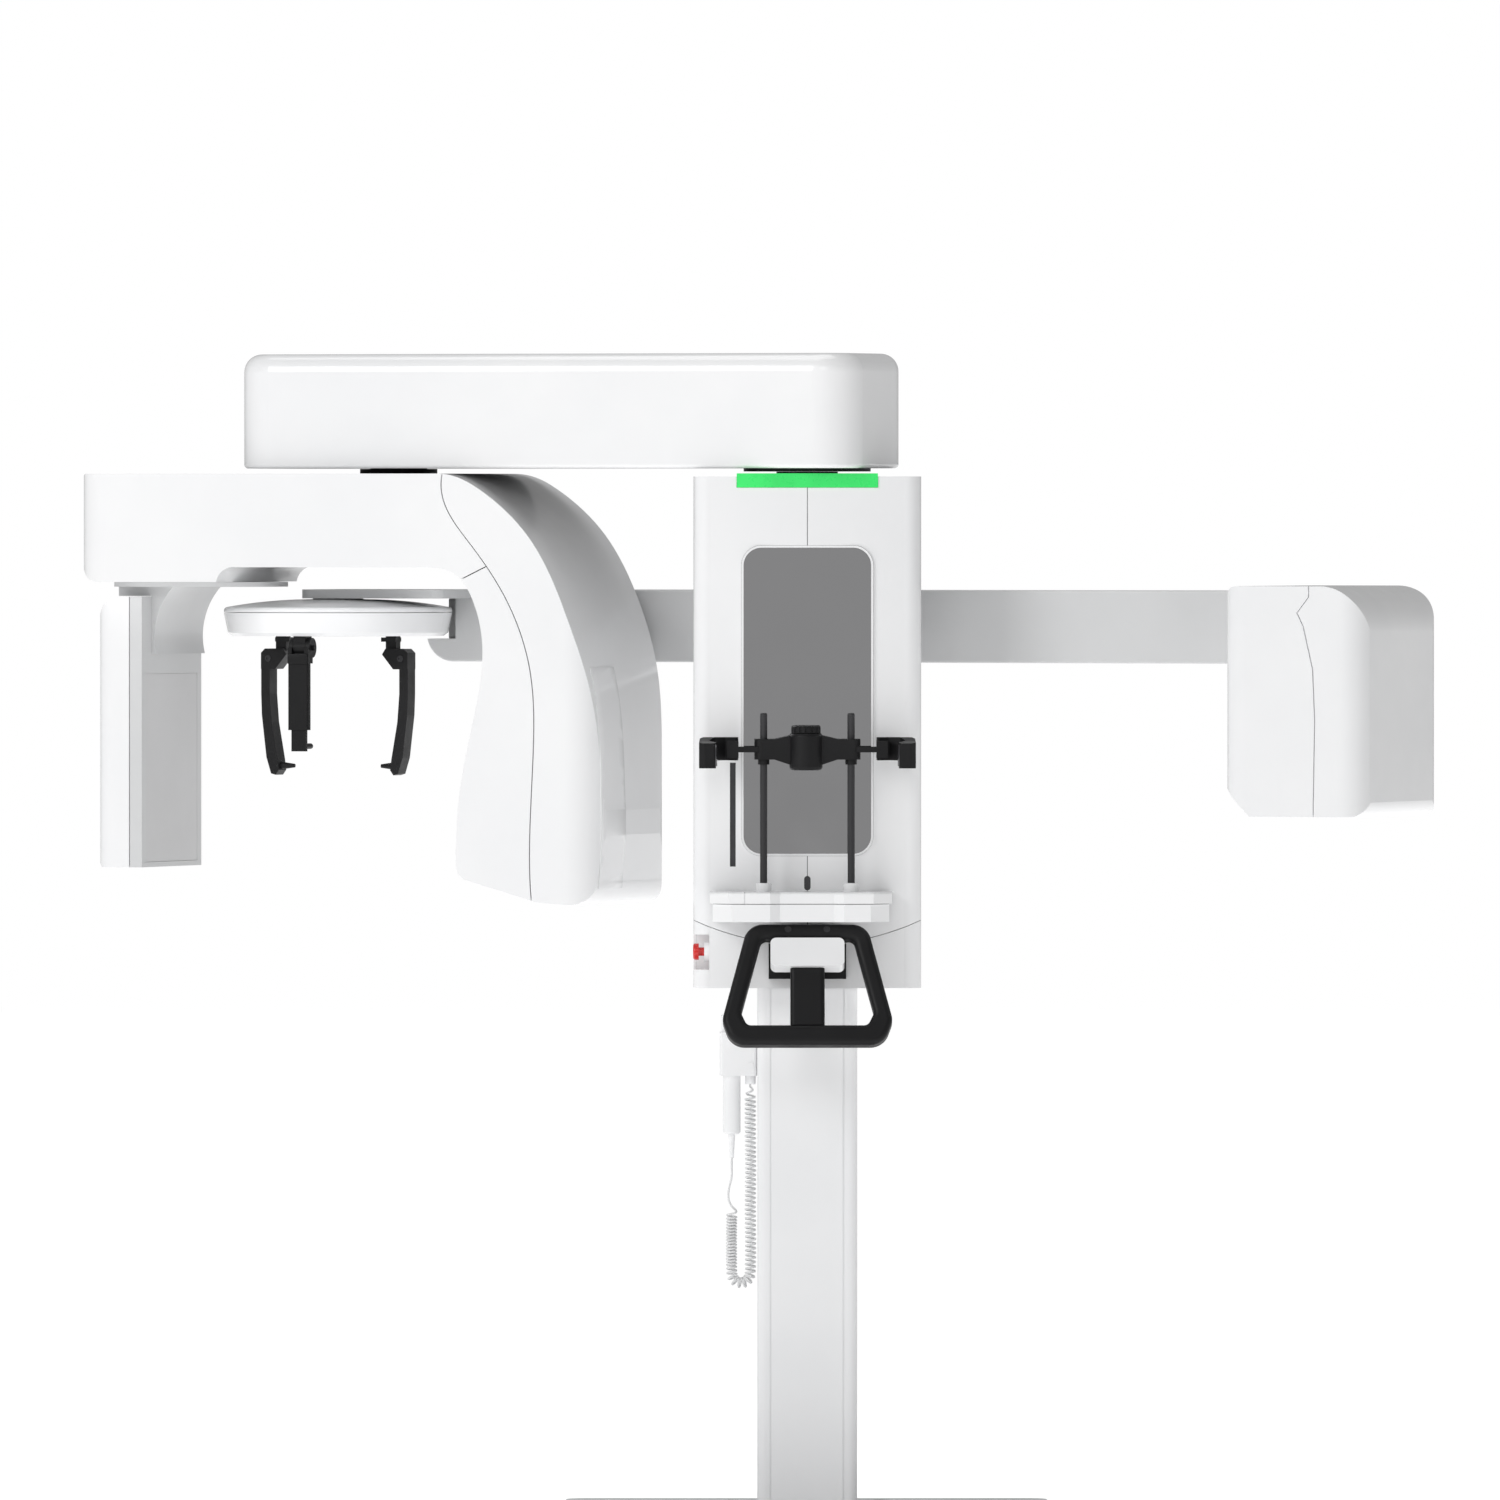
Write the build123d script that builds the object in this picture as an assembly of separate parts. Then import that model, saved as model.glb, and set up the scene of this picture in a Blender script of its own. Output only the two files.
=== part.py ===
from build123d import *
import math
import os

# Panoramic dental x-ray machine with a cephalometric unit, at its lowest height.
# Millimetres, +Z up. Origin: floor level, on the axis of the column.
# The patient stands on the -Y side. Everything above the carriage is turned by YAW about Z:
# it is drawn in a local frame (s along, b back, z up) and turned as the last step.

# ---------- driving dimensions ----------
YAW = 21.0                      # turn of the upper assembly, right end nearer the patient
FIT = 0.3                       # clearance between faces that move past each other
SEAM = 0.9                      # joint line between two covers of the carriage and tray
ARM_SEAM = 1.7                  # joint line between the larger covers of the arms
WALL = 4.0                      # thickness of the moulded covers
LIP_T, LIP_W = 2.0, 6.0         # inner lip that a cover tucks under its neighbour

BASE_W, BASE_D, BASE_T = 680.0, 640.0, 12.0
BASE_HOLE_X, BASE_HOLE_Y, BASE_HOLE_R = 280.0, 260.0, 7.0
FOOT_W, FOOT_D, FOOT_T = 240.0, 220.0, 8.0
COLUMN_W, COLUMN_D, COLUMN_WALL = 140.0, 116.0, 5.0
COLUMN_TOP = 1420.0
MAST_W, MAST_D, MAST_WALL = 116.0, 86.0, 4.0
MAST_BOTTOM = 390.0

CAR_HALF = 159.0                # half width of the carriage
CAR_FRONT = 100.0               # front face at the corners, distance from the axis
CAR_BULGE = 10.0                # how far the middle of the front stands out
CAR_SIDE_END = 20.0             # where the flat sides end and the round back begins
CAR_REAR = 96.0
CAR_BOTTOM, CAR_TOP = 743.4, 1457.4
TOP_PLATE_T = 12.0
FRAME_T = 6.0                   # plates of the carriage's frame
MIRROR_W, MIRROR_BOTTOM, MIRROR_TOP, MIRROR_R = 184.0, 928.0, 1361.0, 28.0
MIRROR_RIM = 3.0

SHELF_Z0, SHELF_Z1 = 1468.6, 1629.6
SHELF_PLATE_T = 8.0
AXIS_S = -616.3                 # axis of the rotating unit, along the shelf
SHELF_S0, SHELF_S1, SHELF_HALF = AXIS_S - 203.7, 108.0, 121.0
SLIDE_TRAVEL = 50.0             # travel of the linear slide, away from the column
COUPLER_R, COUPLER_NECK_R, COUPLER_SHAFT_R = 54.5, 40.0, 25.0
COUPLER_Z0 = 1461.9

ARM_HALF = 150.0                # half depth of the C-arm
ARM_S0, ARM_TOP, ARM_BOTTOM, ARM_STEP = -1050.0, 1461.6, 1309.0, 1330.0
TABLE_S, TABLE_R, TABLE_T = -917.7, 123.0, 6.7
SENSOR_S0, SENSOR_S1, SENSOR_HALF = -1035.0, -963.0, 110.0
SENSOR_Z0, SENSOR_Z1 = 906.0, 1288.0

HEAD_S, HEAD_B, HEAD_R = -747.2, 95.0, 161.7      # round head of the cephalostat
HEAD_PART_Z, HEAD_BOTTOM, HEAD_TOP = 1265.6, 1231.0, 1284.0
EAR_S = 84.0                    # ear arm posts, each side of the head's middle
EAR_IN, EAR_OUT = 35.0, 20.0
NASION_PIN_Z = 1216.0
NASION_B = 145.0                # forehead support, in front of the head's middle
CEPH_B0, CEPH_B1 = ARM_HALF + 20, ARM_HALF + 70    # runs behind the C-arm
CEPH_Z0, CEPH_Z1 = 1195.6, 1298.0
CEPH_S0 = -648.0
TUBE_S0, TUBE_S1, TUBE_B0, TUBE_B1, TUBE_Z0, TUBE_Z1 = 640.0, 848.0, -70.0, 260.0, 985.6, 1305.0

TRAY_Z0, TRAY_Z1, TRAY_SEAM, TRAY_FRONT = 837.0, 879.0, 862.0, 192.0
ROD_X, ROD_Y, ROD_R, ROD_TOP = 61.0, -150.0, 5.0, 1127.0
BAR_Z0, BAR_Z1, BAR_HALF = 1063.0, 1091.0, 74.0
TEMPLE_Z0, TEMPLE_Z1 = 1051.0, 1094.0
HANDLE_TILT = 20.0

HOLDER_X0, HOLDER_Z0, HOLDER_Z1 = -122.6, 619.0, 680.0
HANDSET_X, HANDSET_Y, HANDSET_R = -105.6, -20.0, 12.5
CORD_R, COIL_R = 1.5, 8.2
COIL_OUT_X = -79.5
COIL_TOP, COIL_LOW, GLAND_Z = 429.0, 330.0, 607.0


# ---------- helpers ----------
def block(x0, x1, y0, y1, z0, z1):
    return Pos((x0 + x1) / 2, (y0 + y1) / 2, (z0 + z1) / 2) * Box(x1 - x0, y1 - y0, z1 - z0)


def slab(x0, x1, y0, y1, z0, z1, r):
    """Box with rounded upright edges."""
    face = Pos((x0 + x1) / 2, (y0 + y1) / 2, z0) * RectangleRounded(x1 - x0, y1 - y0, r)
    return extrude(face, z1 - z0, dir=(0, 0, 1))


def disc(x, y, z0, z1, r):
    return Pos(x, y, (z0 + z1) / 2) * Cylinder(r, z1 - z0)


def across(x0, x1, y, z, r):
    """Cylinder along X."""
    return Pos((x0 + x1) / 2, y, z) * Rot(0, 90, 0) * Cylinder(r, x1 - x0)


def along_y(x, y0, y1, z, r):
    """Cylinder along Y."""
    return Pos(x, (y0 + y1) / 2, z) * Rot(90, 0, 0) * Cylinder(r, y1 - y0)


def side_prism(edges, y0, y1):
    """Solid from an outline in the XZ plane, from y0 to y1."""
    face = make_face(Plane.XZ * edges)
    return Pos(0, y0, 0) * extrude(face, y1 - y0, dir=(0, 1, 0))


def plan_prism(edges, z0, z1):
    """Solid from an outline in the XY plane, from z0 to z1."""
    return Pos(0, 0, z0) * extrude(make_face(edges), z1 - z0, dir=(0, 0, 1))


def round_edges(shape, edges, r):
    return fillet(edges, r) if r > 0 and edges else shape


def turned(shape):
    """Turn a piece of the upper assembly from its local frame into the machine's frame."""
    return shape.rotate(Axis.Z, -YAW)


def solids_of(shape):
    return list(shape.solids())


def save(name, shapes, upper=False):
    """Write one node; all that is in it is kept as separate solids."""
    solids = []
    for shape in shapes if isinstance(shapes, list) else [shapes]:
        solids += solids_of(turned(shape) if upper else shape)
    export_step(Compound(children=solids), f"parts/{name}.step")


# ---------- base and column ----------
def build_base():
    plate = slab(-BASE_W / 2, BASE_W / 2, -BASE_D / 2, BASE_D / 2, 0, BASE_T, 30)
    for x in (-BASE_HOLE_X, BASE_HOLE_X):
        for y in (-BASE_HOLE_Y, BASE_HOLE_Y):
            plate -= disc(x, y, -1, BASE_T + 1, BASE_HOLE_R)
    foot = slab(-FOOT_W / 2, FOOT_W / 2, -FOOT_D / 2, FOOT_D / 2, BASE_T, BASE_T + FOOT_T, 12)
    screws = []
    screw_r, head_r, head_t = 5.0, 9.0, 5.0
    top = BASE_T + FOOT_T
    for x in (-FOOT_W / 2 + 18, FOOT_W / 2 - 18):
        for y in (-FOOT_D / 2 + 18, FOOT_D / 2 - 18):
            hole = disc(x, y, BASE_T - 8, top, screw_r + 0.1)
            sink = disc(x, y, top - head_t, top + 1, head_r + 0.1)
            plate -= hole
            foot -= hole + sink
            screw = disc(x, y, BASE_T - 8, top - head_t, screw_r)
            screw += disc(x, y, top - head_t, top - 0.4, head_r)
            screw -= Pos(x, y, top - 1.6) * extrude(RegularPolygon(4, 6), 4)
            screws.append(screw)
    save("base_plate", plate)
    save("column_foot_screws", screws)
    return foot, top


def build_column(foot, foot_top):
    outer = slab(-COLUMN_W / 2, COLUMN_W / 2, -COLUMN_D / 2, COLUMN_D / 2, foot_top, COLUMN_TOP, 12)
    iw, id_ = COLUMN_W / 2 - COLUMN_WALL, COLUMN_D / 2 - COLUMN_WALL
    tube = outer - slab(-iw, iw, -id_, id_, foot_top - 1, COLUMN_TOP + 1, 7)
    for x in (-51.0, 51.0):
        tube -= block(x - 1.2, x + 1.2, -COLUMN_D / 2 - 1, -COLUMN_D / 2 + 1.4, foot_top - 1, COLUMN_TOP + 1)
    pads = []
    pad_z0, pad_z1 = COLUMN_TOP - 90, COLUMN_TOP - 10
    mast_x, mast_y = MAST_W / 2 + FIT, MAST_D / 2 + FIT
    for sign in (-1, 1):
        xs = sorted((sign * mast_x, sign * iw))
        ys = sorted((sign * mast_y, sign * id_))
        pads.append(block(xs[0], xs[1], -25, 25, pad_z0, pad_z1))
        pads.append(block(-35, 35, ys[0], ys[1], pad_z0, pad_z1))
    for pad in pads:
        tube += pad
    save("column_tube", tube + foot)
    rod_r, rod_gap, body_top = 15.0, 0.4, 1010.0
    body = disc(0, 0, foot_top, body_top, 30) - disc(0, 0, foot_top + 60, body_top + 1, rod_r + rod_gap)
    save("lift_actuator_body", body)
    rod_z0, rod_z1 = 170.0, 1060.0
    mast_iw, mast_id = MAST_W / 2 - MAST_WALL, MAST_D / 2 - MAST_WALL
    mast_top = CAR_TOP - 8.4 - TOP_PLATE_T
    mast = slab(-MAST_W / 2, MAST_W / 2, -MAST_D / 2, MAST_D / 2, MAST_BOTTOM, mast_top, 6)
    mast -= slab(-mast_iw, mast_iw, -mast_id, mast_id, MAST_BOTTOM - 1, mast_top + 1, 3)
    mast += block(-mast_iw - 1, mast_iw + 1, -22, 22, rod_z1, rod_z1 + 15) + disc(0, 0, rod_z0, rod_z1, rod_r)
    save("lift_mast", mast)
    return mast_top


def build_switch():
    """Exposure switch: holder on the column, handset, its button and its curly cord."""
    y = HANDSET_Y
    face_x = -COLUMN_W / 2
    holder = slab(HOLDER_X0, face_x, y - 17, y + 17, HOLDER_Z0, HOLDER_Z1, 6)
    holder += slab(HOLDER_X0 + 2, HOLDER_X0 + 12, y - 12, y + 12, HOLDER_Z1, 704, 3)
    holder -= disc(HANDSET_X, y, HOLDER_Z0 - 1, 706, HANDSET_R + FIT)
    screws = []
    for x, z in ((-79.0, 671.0), (-79.0, 634.0)):
        holder -= along_y(x, y - 18, y - 9, z, 2.6)
        screws.append(along_y(x, y - 17.4, y - 9, z, 2.5) + along_y(x, y - 18.6, y - 17, z, 4.2))
    save("switch_holder", [holder] + screws)
    top = 650.0
    shell = disc(HANDSET_X, y, 537, top, HANDSET_R)
    shell = round_edges(shell, shell.edges().sort_by(Axis.Z)[:1], 4)
    shell = round_edges(shell, shell.edges().sort_by(Axis.Z)[-1:], 2)
    button_r = 7.0
    shell -= disc(HANDSET_X, y, top - 9, top + 1, button_r + FIT)
    boot_r, boot_low = 5.0, 504.0
    shell += Pos(HANDSET_X, y, (boot_low + 537) / 2) * Rot(180, 0, 0) * Cone(boot_r, 3.0, 537 - boot_low)
    save("handset", shell)
    save("handset_button", disc(HANDSET_X, y, top - 5, top + 2.5, button_r))
    save("cord_gland", disc(COIL_OUT_X, y, GLAND_Z, HOLDER_Z0, 7.5))
    lead = [(HANDSET_X, y, boot_low), (HANDSET_X + 0.9, y, 466), (HANDSET_X + COIL_R - CORD_R, y, COIL_TOP)]
    build_cord("cord_lead", lead, CORD_R)
    x0, x1 = HANDSET_X, COIL_OUT_X
    coil = [(x0, y, COIL_TOP), (x0 - 0.5, y, 380), (x0, y, COIL_LOW), (x1, y, COIL_LOW - 0.5),
            (x1 + 0.4, y, 380), (x1 - 0.4, y, 436), (x1 + 0.4, y, 492), (x1 - 0.4, y, 550), (x1, y, GLAND_Z)]
    build_cord("cord_coil", coil, COIL_R)


def build_cord(name, points, r):
    """Tube along straight runs joined by tangent arcs, each arc as large as its runs allow."""
    pts = [Vector(*p) for p in points]
    radii = []
    for a, m, c in zip(pts, pts[1:], pts[2:]):
        turn = math.radians((m - a).get_angle(c - m))
        radii.append(0.45 * min((m - a).length, (c - m).length) / math.tan(turn / 2))
    line = FilletPolyline(*pts, radius=radii)
    section = Plane(origin=pts[0], z_dir=pts[1] - pts[0]) * Circle(r)
    tube = sweep(section, path=line)
    print(name, "radii", [round(v) for v in radii], "length", round(line.length, 1))
    print(name, "volume ratio", round(tube.volume / (math.pi * r * r * line.length), 4))
    save(name, tube)


# ---------- carriage ----------
def carriage_outline(grow=0.0):
    """Plan of the carriage: bulged front, flat sides, round back."""
    w, f, r = CAR_HALF + grow, CAR_FRONT + grow, 24.0
    lines = Line((-w, CAR_SIDE_END), (-w, -f + r))
    lines += ThreePointArc((-w, -f + r), (-w + r * 0.293, -f + r * 0.293), (-w + r, -f))
    lines += ThreePointArc((-w + r, -f), (0, -f - CAR_BULGE), (w - r, -f))
    lines += ThreePointArc((w - r, -f), (w - r * 0.293, -f + r * 0.293), (w, -f + r))
    lines += Line((w, -f + r), (w, CAR_SIDE_END))
    lines += ThreePointArc((w, CAR_SIDE_END), (0, CAR_REAR + grow), (-w, CAR_SIDE_END))
    return lines


def carriage_body(grow, z0, z1):
    return plan_prism(carriage_outline(grow), z0, z1)


def build_carriage(mast_top):
    plate_top = mast_top + TOP_PLATE_T
    side_x = COLUMN_W / 2 + 6
    outer_x = side_x + FRAME_T
    front_y = -COLUMN_D / 2 - 30
    rear_y = COLUMN_D / 2 + 6
    frame_low, rear_low = CAR_BOTTOM + 30, 1150.0
    frame = slab(-120, 120, front_y, 42, mast_top, plate_top, 10)
    frame += block(-outer_x, outer_x, 0, rear_y + FRAME_T, mast_top, plate_top)
    frame += block(-100, 100, front_y, front_y + FRAME_T, frame_low, mast_top)
    frame += block(-outer_x, outer_x, rear_y, rear_y + FRAME_T, rear_low, mast_top)
    for x in (-outer_x, side_x):
        frame += block(x, x + FRAME_T, front_y, 50, frame_low, mast_top)
        frame += block(x, x + FRAME_T, 50, rear_y, rear_low, mast_top)
    frame += disc(0, 0, plate_top, 1464.1, 43)
    save("carriage_frame", frame)

    # bracket that carries the cephalometric arm, and the covers it passes through
    s_half = 62.0
    left = (Vector(-s_half, CEPH_B0, 0)).rotate(Axis.Z, -YAW)
    right = (Vector(s_half, CEPH_B0, 0)).rotate(Axis.Z, -YAW)
    back = rear_y + FRAME_T
    wedge = Polyline((-48, back), (64, back), (right.X, right.Y), (left.X, left.Y), close=True)
    bracket = plan_prism(wedge, 1206, 1288)
    save("ceph_arm_bracket", bracket)
    hole = plan_prism(Polyline((-49, back - 1), (65.5, back - 1), (right.X + 2, right.Y),
                               (left.X - 1, left.Y), close=True), 1205, 1289)

    shell = carriage_body(0, CAR_BOTTOM, CAR_TOP) - carriage_body(-WALL, CAR_BOTTOM + WALL, CAR_TOP - WALL)
    shell -= slab(-COLUMN_W / 2 - 3, COLUMN_W / 2 + 3, -COLUMN_D / 2 - 3, COLUMN_D / 2 + 3,
                  CAR_BOTTOM - 1, CAR_BOTTOM + WALL + 1, 13)
    shell -= disc(0, 0, CAR_TOP - WALL - 1, CAR_TOP + 1, 46)
    shell -= hole

    # pieces set into the front
    half, zc, zh = MIRROR_W / 2, (MIRROR_BOTTOM + MIRROR_TOP) / 2, MIRROR_TOP - MIRROR_BOTTOM
    def mirror_slab(inset, y0, y1):
        sheet = RectangleRounded(2 * (half - inset), zh - 2 * inset, MIRROR_R - inset)
        return extrude(Plane.XZ.offset(-y0) * Pos(0, zc) * sheet, y1 - y0, dir=(0, 1, 0))
    frame_y = -CAR_FRONT - CAR_BULGE + 1.0
    shell -= mirror_slab(-FIT, frame_y - 20, front_y)
    tray = mirror_slab(0, frame_y, front_y) - mirror_slab(MIRROR_RIM, frame_y - 1, frame_y + 5)
    glass = mirror_slab(MIRROR_RIM + 0.1, frame_y + 1.2, frame_y + 5)
    save("mirror_frame", tray)
    save("mirror_glass", glass)

    light_z0, light_z1, light_half = 1442.0, 1461.7, 98.5
    zone = block(-light_half, light_half, -130, -80, light_z0, light_z1)
    light = (carriage_body(1.5, light_z0, light_z1) - carriage_body(-7, light_z0 - 1, light_z1 + 1)) & zone
    save("status_light", light)
    gap = block(-light_half - FIT, light_half + FIT, -130, -80, light_z0 - FIT, light_z1 + 1)
    ring = carriage_body(3, light_z0 - 2, light_z1 + 1) - carriage_body(-7 - FIT, light_z0 - 3, light_z1 + 2)
    shell -= ring & gap

    rim = carriage_body(-0.6, CAR_BOTTOM, CAR_TOP) - carriage_body(-WALL, CAR_BOTTOM - 1, CAR_TOP + 1)
    slit = block(-108, -100, -130, -80, 913, 1058)
    lens = Pos(0, -95, 890) * Rot(90, 0, 0) * extrude(SlotOverall(20, 9, rotation=90), 15, both=True)
    save("laser_windows", [rim & slit, rim & lens])
    shell -= slit
    shell -= lens

    # emergency stop in a recess of the left lower corner
    stop_y, stop_z = -62.0, 793.5
    recess = block(-170, -137, -130, -30, 769, 818)
    housing = carriage_body(-WALL - 0.2, 763, 824) & block(-170, -131, -130, -24, 763, 824)
    housing -= recess + across(-138, -128, stop_y, stop_z, 6 + FIT)
    shell -= recess
    button = across(-159.6, -151.6, stop_y, stop_z, 11.5) + across(-151.6, -132, stop_y, stop_z, 6)
    button = round_edges(button, button.edges().sort_by(Axis.X)[:1], 3)
    ring = across(-144, -137, stop_y, stop_z, 14) - across(-145, -130, stop_y, stop_z, 6 + FIT)
    save("emergency_stop_housing", housing + ring)
    save("emergency_stop_button", button)

    # cut the shell into its four covers
    cut_x, cut_z, below = 170.0, 843.0, 700.0
    edge = ThreePointArc((-cut_x, cut_z), (0, 803), (cut_x, cut_z)) + Line((cut_x, cut_z), (cut_x, below))
    edge += Line((cut_x, below), (-cut_x, below)) + Line((-cut_x, below), (-cut_x, cut_z))
    lower_zone = side_prism(edge, -140, 140)
    back_zone = block(-170, 170, CAR_SIDE_END, 140, CAR_BOTTOM - 1, CAR_TOP + 1)
    lower_gap = Pos(0, 0, SEAM) * lower_zone
    lower = shell & lower_zone
    upper = shell - lower_gap
    rear = upper & back_zone
    fronts = upper - block(-170, 170, CAR_SIDE_END - SEAM, 140, CAR_BOTTOM - 1, CAR_TOP + 1)
    save("carriage_lower_cover", lower)
    save("carriage_rear_cover", rear)
    save("carriage_left_cover", fronts & block(-170, -SEAM / 2, -140, 140, 700, 1500))
    save("carriage_right_cover", fronts & block(SEAM / 2, 170, -140, 140, 700, 1500))



# ---------- patient support on the carriage ----------
def build_patient_support():
    front = -TRAY_FRONT
    near = -CAR_FRONT - CAR_BULGE + 2.5
    def tray(z0, z1, x0, x1):
        lines = Polyline((x0, near), (x0, front + 34), (x0 + 26, front + 4), (-52, front), (-38, front + 9),
                         (37, front + 9), (51, front), (x1 - 26, front + 4), (x1, front + 34), (x1, near),
                         close=True)
        body = plan_prism(lines, z0, z1)
        return body
    upper = tray(TRAY_SEAM + SEAM / 2, TRAY_Z1, -136, 118)
    lower = tray(TRAY_Z0, TRAY_SEAM - SEAM / 2, -132, 114)
    keep_out = carriage_body(FIT, 700, 1000)
    upper = fillet(upper.faces().sort_by(Axis.Z)[-1].edges().sort_by(Axis.Y)[:7], 4)
    groove = block(-88, -87, -220, -80, TRAY_SEAM, TRAY_Z1 + 1)
    upper -= groove - block(-90, -85, 4 - TRAY_FRONT, -80, 700, TRAY_Z1 - 2)
    for x in (-ROD_X, ROD_X):
        pin = disc(x, ROD_Y, TRAY_SEAM - 12, TRAY_Z1 + 20, ROD_R + 0.05)
        collar = disc(x, ROD_Y, TRAY_Z1 - 2, TRAY_Z1 + 12, 11)
        upper += fillet(collar.edges().sort_by(Axis.Z)[-1:], 2)
        upper -= pin
        lower -= pin
    save("tray_upper_cover", upper - keep_out)
    save("tray_lower_cover", lower - keep_out)
    rods = [disc(x, ROD_Y, TRAY_SEAM - 12, ROD_TOP, ROD_R) for x in (-ROD_X, ROD_X)]
    rods = [fillet(rod.edges().sort_by(Axis.Z)[-1:], 2) for rod in rods]
    save("head_rest_rods", rods)

    # crossbar that slides on the rods, with the drum of the temple drive in its middle
    rack_h = 8.0
    bar = slab(-BAR_HALF, BAR_HALF, ROD_Y - 13, ROD_Y + 13, BAR_Z0, BAR_Z1, 10)
    drum_x, drum_r = -2.0, 23.0
    flare = Polyline((drum_x - 44, BAR_Z0), (drum_x - drum_r, BAR_Z0 - 7), (drum_x + drum_r, BAR_Z0 - 7),
                     (drum_x + 44, BAR_Z0), (drum_x + 44, BAR_Z1), (drum_x + drum_r, BAR_Z1 + 5),
                     (drum_x - drum_r, BAR_Z1 + 5), (drum_x - 44, BAR_Z1), close=True)
    bar += side_prism(flare, ROD_Y - 13, ROD_Y + 13)
    drum = disc(drum_x, ROD_Y - 6, 1048, 1099.7, drum_r)
    bar += fillet(drum.edges().filter_by(GeomType.CIRCLE), 5)
    for x in (-ROD_X, ROD_X):
        bar += disc(x, ROD_Y, BAR_Z0 - 7, BAR_Z0 + 2, 8)
        bar -= disc(x, ROD_Y, BAR_Z0 - 20, BAR_Z1 + 20, ROD_R + FIT)
    mid_z = (BAR_Z0 + BAR_Z1) / 2
    channel_y = ROD_Y - 11.5
    slot_z0, slot_z1 = mid_z - rack_h / 2 - FIT, mid_z + rack_h / 2 + FIT
    for x0, x1 in ((-BAR_HALF - 2, -28), (28, BAR_HALF + 2)):
        bar -= block(x0, x1, channel_y - 1, channel_y + 5, slot_z0, slot_z1)
    save("head_rest_bar", bar)
    knob = disc(drum_x, ROD_Y - 6, 1100, 1110, 20.5)
    knob = fillet(knob.edges().sort_by(Axis.Z)[-1:], 3)
    for i in range(16):
        a = math.radians(i * 22.5)
        knob -= disc(drum_x + 20.6 * math.cos(a), ROD_Y - 6 + 20.6 * math.sin(a), 1099, 1113, 1.6)
    save("temple_knob", knob)
    for name, sign in (("temple_left", -1), ("temple_right", 1)):
        outline = Polyline((96, ROD_Y + 18), (112, ROD_Y + 23), (136, ROD_Y + 15), (150, ROD_Y - 4),
                           (151, ROD_Y - 30), (144, ROD_Y - 36), (129, ROD_Y - 35), (127, ROD_Y - 26),
                           (137, ROD_Y - 15), (130, ROD_Y + 2), (114, ROD_Y + 9), (98, ROD_Y + 4), close=True)
        plan = fillet(make_face(outline).vertices(), 2.5)
        arm = extrude(Pos(0, 0, TEMPLE_Z0) * plan, TEMPLE_Z1 - TEMPLE_Z0)
        lean = Polyline((ROD_Y + 26, mid_z - 14), (ROD_Y - 6, mid_z - 16), (ROD_Y - 18, TEMPLE_Z0),
                        (ROD_Y - 40, TEMPLE_Z0), (ROD_Y - 40, TEMPLE_Z1 - 9), (ROD_Y - 16, TEMPLE_Z1 - 5),
                        (ROD_Y + 2, TEMPLE_Z1), (ROD_Y + 26, TEMPLE_Z1), close=True)
        arm = arm & (Pos(90, 0, 0) * extrude(make_face(Plane.YZ * lean), 70, dir=(1, 0, 0)))
        neck = block(96, 112, channel_y + FIT, ROD_Y + 8, mid_z - 12, mid_z + 12)
        hook = arm + neck
        rack = block(50, 96, channel_y + FIT, channel_y + 4.4, mid_z - rack_h / 2, mid_z + rack_h / 2)
        pieces = [hook, rack]
        save(name, pieces if sign > 0 else [piece.mirror(Plane.YZ) for piece in pieces])

    build_handle()


def build_handle():
    """Hand grip loop and its mounting, leaning towards the patient."""
    top, low = 831.0, 654.0
    hinge_y = -150.0
    def lean(shape):
        return Pos(0, hinge_y, top) * Rot(-HANDLE_TILT, 0, 0) * Pos(0, 0, -top) * shape
    depth = 26.0
    outer = Polyline((-83, top), (83, top), (119, 690), (106, low), (-106, low), (-119, 690), close=True)
    inner = Polyline((-64, 809), (64, 809), (92, 700), (84, 683), (-84, 683), (-92, 700), close=True)
    loop = side_prism(outer, -depth / 2, depth / 2)
    loop = fillet(loop.edges().filter_by(Axis.Y), 27)
    hollow = side_prism(inner, -depth, depth)
    hollow = fillet(hollow.edges().filter_by(Axis.Y), 9)
    loop = loop - hollow
    rims = loop.faces().sort_by(Axis.Y)[0].edges() + loop.faces().sort_by(Axis.Y)[-1].edges()
    loop = fillet(rims, 8)
    screws = []
    for x in (-27.0, 27.0):
        loop -= along_y(x, -depth, -depth / 2 + 2.4, 822, 4.6)
        screws.append(along_y(x, -depth / 2 + 0.5, -depth / 2 + 2.4, 822, 4.4))
    save("handle_loop", lean(loop))
    save("handle_screws", [lean(s) for s in screws])
    bar = slab(-24, 24, -9, 9, 683, 767, 6)
    cap = block(-51.5, 51.5, -16, 12, 767, 808.4)
    cap = fillet(cap.edges().filter_by(Axis.Y), 8)
    save("handle_block", lean(cap))
    foot = block(-54, 54, hinge_y + 10, -CAR_FRONT - 3, 757, 806)
    foot -= lean(block(-70, 70, -60, 12.1, 700, 900))
    foot += lean(bar + block(-22, 22, -6, 40, 757, 767)) - block(-60, 60, -CAR_FRONT - 4, 0, 700, 900)
    foot -= carriage_body(FIT, 700, 1000)
    save("handle_bracket", foot)


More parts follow.
